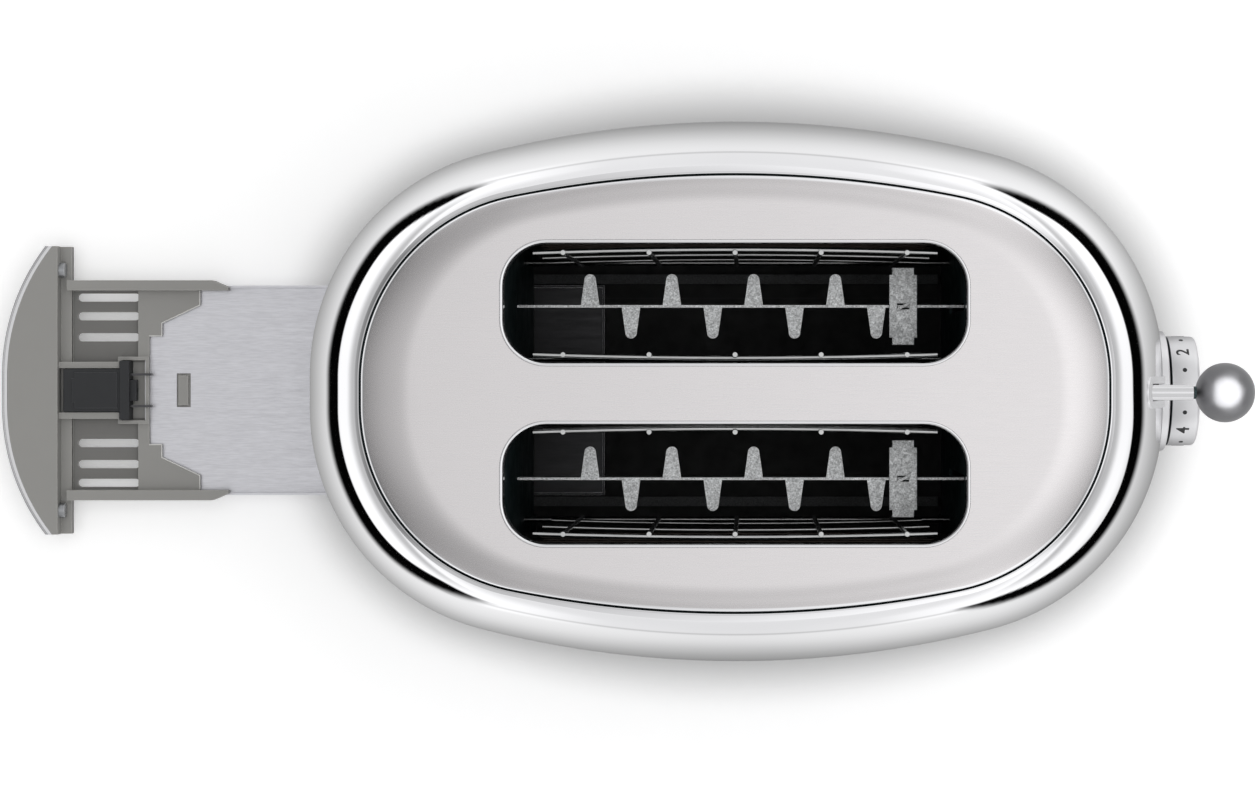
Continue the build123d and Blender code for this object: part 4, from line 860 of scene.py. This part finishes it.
def lever_surround():
    """Liner of the lever's slot, following the curved end wall."""
    bottom = LEVER_Z - LEVER_TRAVEL
    outer = (SURROUND_WIDTH, bottom - SURROUND_WIDTH / 2, LEVER_Z + SURROUND_RISE)
    inner = (LEVER_SLOT_WIDTH, bottom - LEVER_SLOT_WIDTH / 2, LEVER_Z + LEVER_SLOT_WIDTH / 2)
    edge = SURROUND_EDGE
    profile = [
        (outer, 0.0, -SHELL_WALL),
        (outer, 0.0, SURROUND_PROUD - edge),
        (outer, -edge / 4, SURROUND_PROUD - edge / 4),
        (outer, -edge, SURROUND_PROUD),
        (inner, edge, SURROUND_PROUD),
        (inner, edge / 4, SURROUND_PROUD - edge / 4),
        (inner, 0.0, SURROUND_PROUD - edge),
        (inner, 0.0, -SHELL_WALL),
    ]
    loops = []
    for (width, low, high), grow, stand in profile:
        loops.append(oblong_on_wall(width + 2 * grow, low - grow, high + grow, stand))
    settle(strips("slot_liner", loops, loop=True), "chrome", HOUSING, ["lever_surround"], "satin_chrome")


def browning_knob():
    """Cupped knob with a rounded front edge and a printed dial on its rim."""
    front = KNOB_FRONT_X
    back = front - KNOB_DEPTH
    inside = KNOB_R - KNOB_WALL
    profile = [(front - KNOB_WALL, AXIS_R), (front - KNOB_WALL, inside), (back + 0.4, inside)]
    profile += bend((back, inside + 0.4), (back, KNOB_R), (back + 0.6, KNOB_R))
    rounding = [(front - 1.6, KNOB_R - 0.1), (front - 0.1, KNOB_R - 0.2), (front - 0.2, KNOB_R - 1.8)]
    profile += bend(*rounding, steps=6)
    profile += [(front - 0.2, KNOB_R - 2.4), (front - 0.6, KNOB_R - 3.0)]
    profile += [(front - 0.6, KNOB_HUB_R), (front - 0.5, AXIS_R)]
    knob = turned("dial_cap", profile, 0.0, KNOB_Z, KNOB_STEPS)
    settle(knob, "chrome", "browning_knob", ["browning_knob"], "satin_chrome", sharp=35.0)
    middle_x = back + DIAL_MIDDLE * KNOB_DEPTH
    for index, digit in enumerate("123456"):
        dial_mark(f"dial_digit_{digit}", digit_mesh(digit), math.radians(DIAL_STEP * index), middle_x)
    for index in range(6):
        dial_mark(f"dial_dot_{index + 1}", dot_mesh(), math.radians(DIAL_STEP * (index + 0.5)), middle_x)


def digit_mesh(digit):
    """Flat outline mesh of one numeral, its middle at the origin."""
    text = bpy.data.curves.new("numeral", "FONT")
    text.body = digit
    text.size = DIGIT_SIZE
    text.offset = 0.1
    text.align_x = "CENTER"
    text.align_y = "CENTER"
    text.resolution_u = 4
    holder = new_object("numeral", text)
    mesh = final_mesh(holder)
    bpy.data.objects.remove(holder)
    return mesh


def dot_mesh(steps=24):
    turns = [2 * math.pi * step / steps for step in range(steps)]
    ring = [(DOT_R * math.cos(turn), DOT_R * math.sin(turn), 0.0) for turn in turns]
    mesh = bpy.data.meshes.new("dot")
    mesh.from_pydata(ring, [], [tuple(range(steps))])
    return mesh


def dial_mark(name, mesh, turn, middle_x):
    """Wraps a flat mark round the knob's rim as a thin layer of print."""
    work = bmesh.new()
    work.from_mesh(mesh)
    bmesh.ops.triangulate(work, faces=work.faces)
    bmesh.ops.subdivide_edges(work, edges=work.edges, cuts=1)
    solid = bmesh.ops.extrude_face_region(work, geom=work.faces[:])
    for item in solid["geom"]:
        if isinstance(item, bmesh.types.BMVert):
            item.co.z = 1.0
    for vertex in work.verts:
        across, along, top = vertex.co
        radius = KNOB_R + (PRINT_PROUD if top > 0.5 else -PRINT_DEPTH)
        angle = turn - across / KNOB_R
        place = (middle_x - along, radius * math.cos(angle), KNOB_Z + radius * math.sin(angle))
        vertex.co = Vector(place) * MM
    bmesh.ops.recalc_face_normals(work, faces=work.faces)
    wrapped = bpy.data.meshes.new(name)
    work.to_mesh(wrapped)
    work.free()
    mark = settle(new_object(name, wrapped), "dark_plastic", "browning_knob", look="dial_print")
    mark.visible_glossy = False


def knob_bezel():
    """Flat trim disc behind the knob, with a rounded front edge."""
    front = KNOB_FRONT_X - KNOB_DEPTH - BEZEL_GAP
    back = front - BEZEL_THICK
    profile = [(back, BEZEL_HOLE_R), (back, BEZEL_R)]
    profile += bend((front - BEZEL_EDGE, BEZEL_R), (front, BEZEL_R), (front, BEZEL_R - BEZEL_EDGE), 5)
    profile.append((front, BEZEL_HOLE_R))
    disc = turned("trim_disc", profile, 0.0, KNOB_Z, KNOB_STEPS, loop=True)
    settle(disc, "chrome", HOUSING, ["knob_bezel"], "satin_chrome")
    # Painted shade: the disc's front face, in the gap behind the knob, takes the dark chamber steel
    repaint(disc, "chamber_steel", lambda spot: spot.x > front - 0.06)


def wires(name, runs, slot, body, replaced=(), look=None):
    """Round wires along runs of points, each with its own radius, as one mesh."""
    curve = bpy.data.curves.new(name, "CURVE")
    curve.dimensions = "3D"
    curve.bevel_depth = MM
    curve.bevel_resolution = 4
    curve.use_fill_caps = True
    for radius, points in runs:
        spline = curve.splines.new("POLY")
        spline.points.add(len(points) - 1)
        for point, place in zip(spline.points, points):
            point.co = (*[value * MM for value in place], 1.0)
            point.radius = radius
    holder = new_object(name, curve)
    mesh = final_mesh(holder)
    bpy.data.objects.remove(holder)
    return settle(new_object(name, mesh), slot, body, replaced, look, sharp=50.0)


def lift_coil():
    """Wound spring on its guide rod."""
    low, high = (Vector(corner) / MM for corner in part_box("lift_spring"))
    middle = (low + high) / 2
    radius = (high.x - low.x) / 2 - COIL_WIRE_R
    length = high.z - low.z - 2 * COIL_WIRE_R
    steps = COIL_TURNS * COIL_TURN_STEPS
    points = []
    for step in range(steps + 1):
        share = step / steps
        turn = 2 * math.pi * COIL_TURNS * share
        x = middle.x + radius * math.cos(turn)
        y = middle.y + radius * math.sin(turn)
        points.append((x, y, low.z + COIL_WIRE_R + length * share))
    coil = wires("lift_coil", [(COIL_WIRE_R, points)], "bright_wire", HOUSING, ["lift_spring"])
    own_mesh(coil)


def bread_guard(index, slot_y, side):
    """Wire grid of uprights on a pivot wire, with bowed rails."""
    upright_y = slot_y + side * GUARD_OFFSET
    pivot_y = upright_y + side * GUARD_WIRE_R
    rail_y = upright_y + side * 1.5 * GUARD_WIRE_R
    reach = END_PLATE_X + GUARD_PIVOT_REACH
    runs = [(GUARD_PIVOT_R, [(-reach, pivot_y, GUARD_PIVOT_Z), (reach, pivot_y, GUARD_PIVOT_Z)])]
    for step in range(GUARD_UPRIGHTS):
        x = (step - (GUARD_UPRIGHTS - 1) / 2) * GUARD_PITCH
        runs.append((GUARD_WIRE_R, [(x, upright_y, GUARD_PIVOT_Z), (x, upright_y, GUARD_TOP_Z)]))
    for z in GUARD_RAILS_Z:
        rail = []
        for step in range(GUARD_RAIL_STEPS + 1):
            share = 2 * step / GUARD_RAIL_STEPS - 1
            rail.append((GUARD_RAIL_LENGTH / 2 * share, rail_y - side * GUARD_RAIL_BOW / 2 * share**2, z))
        runs.append((GUARD_WIRE_R, rail))
    wires(f"guard_wires_{index}", runs, "bright_wire", f"guard_{index}", [f"bread_guard_{index}"])


def softened(node, name, width, slot, body):
    """The same shape as a CAD node, with its sharp edges rounded as on the real piece."""
    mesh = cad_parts[node].data.copy()
    mesh.name = name
    work = bmesh.new()
    work.from_mesh(mesh)
    bmesh.ops.remove_doubles(work, verts=work.verts, dist=2e-6)
    bmesh.ops.dissolve_limit(work, angle_limit=math.radians(FLAT_ANGLE), verts=work.verts, edges=work.edges)
    least = math.radians(EDGE_ANGLE)
    sharp = [edge for edge in work.edges if len(edge.link_faces) == 2 and edge.calc_face_angle() > least]
    bmesh.ops.bevel(
        work, geom=sharp, offset=width * MM, segments=2, affect="EDGES",
        offset_type="OFFSET", profile=0.6, clamp_overlap=True,
    )
    work.to_mesh(mesh)
    work.free()
    settle(new_object(name, mesh), slot, body, [node], sharp=35.0)
    for polygon in mesh.polygons:
        polygon.use_smooth = polygon.area < LARGE_FACE


def tray_front():
    """Chrome front of the tray: rounded top edge, a fine groove and a grip under the lip."""
    top = TRAY_TOP_Z
    rings = []
    for step in range(TRAY_FRONT_STEPS + 1):
        y = -TRAY_HALF_WIDTH + 2 * TRAY_HALF_WIDTH * step / TRAY_FRONT_STEPS
        hollow = TRAY_GRIP_DEPTH if abs(y) < TRAY_GRIP_HALF else 0.0
        profile = [(hollow, TRAY_BOTTOM_Z), (hollow, top - 2.9), (0.0, top - 2.5)]
        profile += bend((0.0, top - 0.9), (0.0, top), (0.8, top), 5)
        profile += [(1.0, top - 0.3), (1.25, top - 0.3), (1.4, top), (2.2, top), (2.2, TRAY_BOTTOM_Z)]
        rings.append([(tray_front_x(y, z, depth), y, z) for depth, z in profile])
    settle(strips("tray_chrome_front", rings, caps=True), "chrome", "crumb_tray", ["tray_front_cover"])


def tray_front_x(y, z, depth):
    """Where the tray's front stands at a place across the toaster, a depth behind its outer face."""
    inset = SKIRT_TOP_INSET + (TRAY_TOP_Z - z) * SKIRT_SLOPE + depth

    def beyond(direction):
        return oval_reach(direction, inset, inset) * math.sin(direction) > abs(y)

    direction = narrowed(math.pi / 2, math.pi, beyond)[1]
    return oval_reach(direction, inset, inset) * math.cos(direction) - TRAY_PULLED


def apron_highlight():
    """Painted highlight: a thin light-coloured wire along the tray's stepped apron edge."""
    runs = [(APRON_HIGHLIGHT_R, [(x, side * y, APRON_TOP_Z - 0.1) for x, y in APRON_EDGE]) for side in (1, -1)]
    wires("apron_highlight", runs, "grey_plastic", "crumb_tray", look="painted_edge_highlight")


def cartridge_lid():
    """Raised lid of the latch cartridge with a stepped end."""
    start, end = (corner[0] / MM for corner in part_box("latch_case"))
    steps = ((4.2, 6.9), (4.2, 4.6), (3.2, 4.6), (3.2, -4.6), (4.2, -4.6), (4.2, -6.9))
    outline = [(start + x, y) for x, y in steps] + [(end - 4.6, -6.9), (end - 4.6, 6.9)]
    rings = []
    for inset, rise in ((0.0, -0.3), (0.0, 0.25), (0.18, 0.4)):
        ring = []
        for x, y in outline:
            inward = inset if x < (start + end) / 2 else -inset
            ring.append((x + inward, y - math.copysign(inset, y), CASE_TOP_Z + rise))
        rings.append(ring)
    settle(strips("latch_lid", rings, caps=True), "dark_plastic", "crumb_tray", sharp=20.0)


def grade(obj, tones):
    """Stores a grey level for each point of a mesh."""
    layer = obj.data.color_attributes.new("level", "FLOAT_COLOR", "POINT")
    for item, tone in zip(layer.data, tones):
        item.color = grey(tone)


def studio_floor():
    """Pale floor in rings round the body, with a painted shadow that makes it a little darker where the
    body stands close.
    """
    widest = oval_reaches(0.0, 0.0)
    rings = [[(MIDDLE_SHARE * x, MIDDLE_SHARE * y, z) for x, y, z in level_ring(widest, 0.0)]]
    tones = []
    for beyond in FLOOR_RINGS:
        rings.append(level_ring([reach + beyond for reach in widest], 0.0))
        tones.append(1 - FLOOR_SHADE * (1 - span(beyond, *FLOOR_SHADE_REACH)))
    tones.insert(0, tones[0])
    floor = strips("floor", rings)
    grade(floor, [tone for tone in tones for _ in DIRECTIONS])
    material = bpy.data.materials.new("floor_look")
    material.use_nodes = True
    nodes = Nodes(material.node_tree)
    levels = nodes.levels()
    seen = nodes.add("LightPath").outputs["Is Camera Ray"]
    nodes.feed(material.node_tree.nodes["Principled BSDF"], {
        "Roughness": 0.9, "Base Color": levels, "Emission Color": levels,
        "Emission Strength": nodes.maths("MULTIPLY", seen, FLOOR_GLOW),
    })
    floor.data.materials.append(material)
    floor.visible_glossy = False


def span(value, low, high):
    """How far a value has come from low to high, eased and held to 0 to 1."""
    share = min(max((value - low) / (high - low), 0.0), 1.0)
    return share * share * (3 - 2 * share)


def near(direction, centre, width, amount):
    """An amount where a direction is the given one in degrees, fading to 0 past the width."""
    away = (math.degrees(direction) - centre + 180) % 360 - 180
    return amount * math.exp(-((away / width) ** 2))


def card_level(direction, z):
    """Lightness that the shell shows: grey at its foot, a dark band round each end, white above."""
    toward_end = abs(math.cos(direction))
    level = CARD_FOOT
    for low, high, amount in CARD_RISES:
        level += amount * span(z, low, high)
    glint = CORNER_GLINT * math.sin(2 * direction) ** 2
    for place in CARD_GLINTS:
        glint += near(direction, *place)
    level *= 1 + glint * (1 - GLINT_FADE * span(z, *GLINT_FADE_Z))
    level += END_GLOW * span(z, *END_GLOW_Z) * span(toward_end, *END_GLOW_START)
    level *= 1 - END_SHADE * span(z, *END_SHADE_Z) * span(toward_end, *END_START)
    line = math.exp(-(((z - SIDE_LINE_Z) / SIDE_LINE_WIDTH) ** 2))
    level *= 1 - SIDE_LINE * line * (1 - span(toward_end, *SIDE_LINE_STOP))
    toward_end += near(direction, *BAND_LONGER)
    top = BAND_TOP_Z + BAND_RISE * span(1 - toward_end, *BAND_RISE_START) + near(direction, *BAND_DIP)
    width = BAND_WIDTH * span(toward_end, *BAND_START)
    darkness = span(z, top - width - BAND_BLUR, top - width + BAND_BLUR)
    darkness *= 1 - span(z, top - BAND_EDGE, top + BAND_EDGE)
    darkness *= min(width / BAND_FULL_WIDTH, 1.0)
    return level * (1 - darkness) + BAND_LEVEL * darkness


def shell_point(direction, z):
    reach = form_reach(direction, z)
    return Vector((reach * math.cos(direction), reach * math.sin(direction), z))


def mirrored_ring(z, height):
    """Where the camera's rays end up at a height by way of the shell's mirror, or None if some miss it."""
    ring = []
    for direction in DIRECTIONS:
        point = shell_point(direction, z)
        along = shell_point(direction + 1e-3, z) - point
        normal = along.cross(shell_point(direction, z + 1e-2) - point)
        normal.normalize()
        ray = (point - CAMERA_PLACE).normalized()
        bounce = ray - 2 * min(ray.dot(normal), 0.0) * normal
        if bounce.z > FLATTEST_BOUNCE:
            return None
        ring.append(point + bounce * ((height - point.z) / bounce.z))
    return ring


def reflection_card(name, height, mirrored_at, outer):
    """Graded card that only reflections see, laid out by where the shell mirrors it, and plain beyond."""

    def outline(factor):
        foot = [shell_point(direction, max(height, WIDEST_Z)) for direction in DIRECTIONS]
        return [Vector((factor * point.x, factor * point.y, height)) for point in foot]

    rings = [outline(1.001)]
    tones = []
    for z in mirrored_at:
        ring = mirrored_ring(z, height)
        if ring is None:
            break
        rings.append(ring)
        tones.append([card_level(direction, z) for direction in DIRECTIONS])
    tones.insert(0, tones[0])
    if outer is None:
        far = [1 - FAR_SHADE * span(abs(math.cos(direction)), *END_START) for direction in DIRECTIONS]
    else:
        far = [outer] * ROUND_STEPS
        rings.append([1.5 * point for point in rings[-1]])
        tones.append(far)
    rings.append(outline(OUTERMOST))
    tones.append(far)
    card = strips(name, [[(point.x, point.y, height) for point in ring] for ring in rings])
    grade(card, [tone for row in tones for tone in row])
    card.data.materials.append(card_material())
    for sight in ("camera", "diffuse", "shadow", "transmission"):
        setattr(card, f"visible_{sight}", False)


def card_material():
    """Glows by the card's own levels from above and is clear from below."""
    material = bpy.data.materials.new("card_look")
    material.use_nodes = True
    material.node_tree.nodes.clear()
    nodes = Nodes(material.node_tree)
    glow = nodes.add("Emission", {"Color": nodes.levels()}).outputs[0]
    clear = nodes.add("BsdfTransparent").outputs[0]
    below = nodes.add("NewGeometry").outputs["Backfacing"]
    mix = nodes.add("MixShader", {0: below, 1: glow, 2: clear}).outputs[0]
    nodes.add("OutputMaterial", {"Surface": mix})
    return material


def sky():
    """Studio light from above: dim low down past the ends, bright past the long sides and overhead."""
    world = bpy.data.worlds.new("studio")
    bpy.context.scene.world = world
    world.use_nodes = True
    nodes = Nodes(world.node_tree)
    axes = nodes.axes(nodes.add("TexCoord").outputs["Generated"])
    sideways = nodes.maths("ABSOLUTE", axes["Y"])
    layers = []
    for value, stops in ((axes["Z"], END_SKY), (axes["Z"], SIDE_SKY), (sideways, SIDE_DIP)):
        layers.append(nodes.ramp(value, [(position, grey(level)) for position, level in stops]))
    levels = nodes.mixed(nodes.spread(sideways, *SIDE_START), layers[0], layers[1])
    nodes.feed(world.node_tree.nodes["Background"], {
        "Color": nodes.mixed(1.0, levels, layers[2], "MULTIPLY"),
        "Strength": nodes.spread(axes["X"], -0.3, 0.3, *SKY_STRENGTHS),
    })


def area_lamp(name, place, **settings):
    """Soft lamp that shines straight down from a place in metres."""
    lamp = bpy.data.lights.new(name, "AREA")
    for key, value in settings.items():
        setattr(lamp, key, value)
    holder = new_object(name, lamp)
    holder.location = place
    return holder


def camera():
    """Camera straight above, looking straight down; the photograph's frame is cut to one side."""
    optics = bpy.data.cameras.new("camera")
    optics.lens = CAMERA_LENS
    optics.sensor_width = 36.0
    optics.shift_x, optics.shift_y = CAMERA_SHIFT
    optics.clip_start = 0.05
    optics.clip_end = 20.0
    holder = new_object("camera", optics)
    holder.location = CAMERA_PLACE * MM
    bpy.context.scene.camera = holder


# The pieces
body_shell()
top_panel()
slot_rim("front_slot_rim", -SLOT_Y)
slot_rim("rear_slot_rim", SLOT_Y)
base_ring()
lever_grip = lever_handle()
lever_surround()
browning_knob()
knob_bezel()
slot_sides = [(slot_y, side) for slot_y in (-SLOT_Y, SLOT_Y) for side in (-1, 1)]
for index, (slot_y, side) in enumerate(slot_sides, 1):
    bread_guard(index, slot_y, side)
lift_coil()
for name in ("front", "rear"):
    softened(f"{name}_lifter_blade", f"{name}_blade_sheet", SHEET_EDGE, "galvanised", "carriage")
    softened(f"{name}_blade_strap", f"{name}_strap_sheet", SHEET_EDGE, "galvanised", "carriage")
softened("tray_frame", "tray_moulding", MOULDED_EDGE, "grey_plastic", "crumb_tray")
tray_front()
apron_highlight()
cartridge_lid()
softened("latch_case", "latch_cartridge", CASE_EDGE, "dark_plastic", "crumb_tray")
softened("latch_tongue", "latch_plunger", MOULDED_EDGE, "dark_plastic", "tray_latch")

# The studio
studio_floor()
reflection_card("low_card", LOW_CARD_Z, LOW_HEIGHTS, LOW_CARD_BEYOND)
reflection_card("shoulder_card", SHOULDER_CARD_Z, SHOULDER_HEIGHTS, None)
sky()
overhead = area_lamp("overhead", (0.0, 0.0, 1.5), shape="RECTANGLE", size=1.6, size_y=1.2, energy=5.6)
overhead.visible_glossy = False

# Soft light that only the lever's ball catches, for its bright crown
crown = area_lamp("ball_crown", (0.14, 0.01, 0.75), shape="DISK", size=2.0, energy=58.0)
lit = bpy.data.collections.new("ball_only")
lit.objects.link(lever_grip)
crown.light_linking.receiver_collection = lit

camera()
bpy.context.scene.view_settings.view_transform = "Standard"
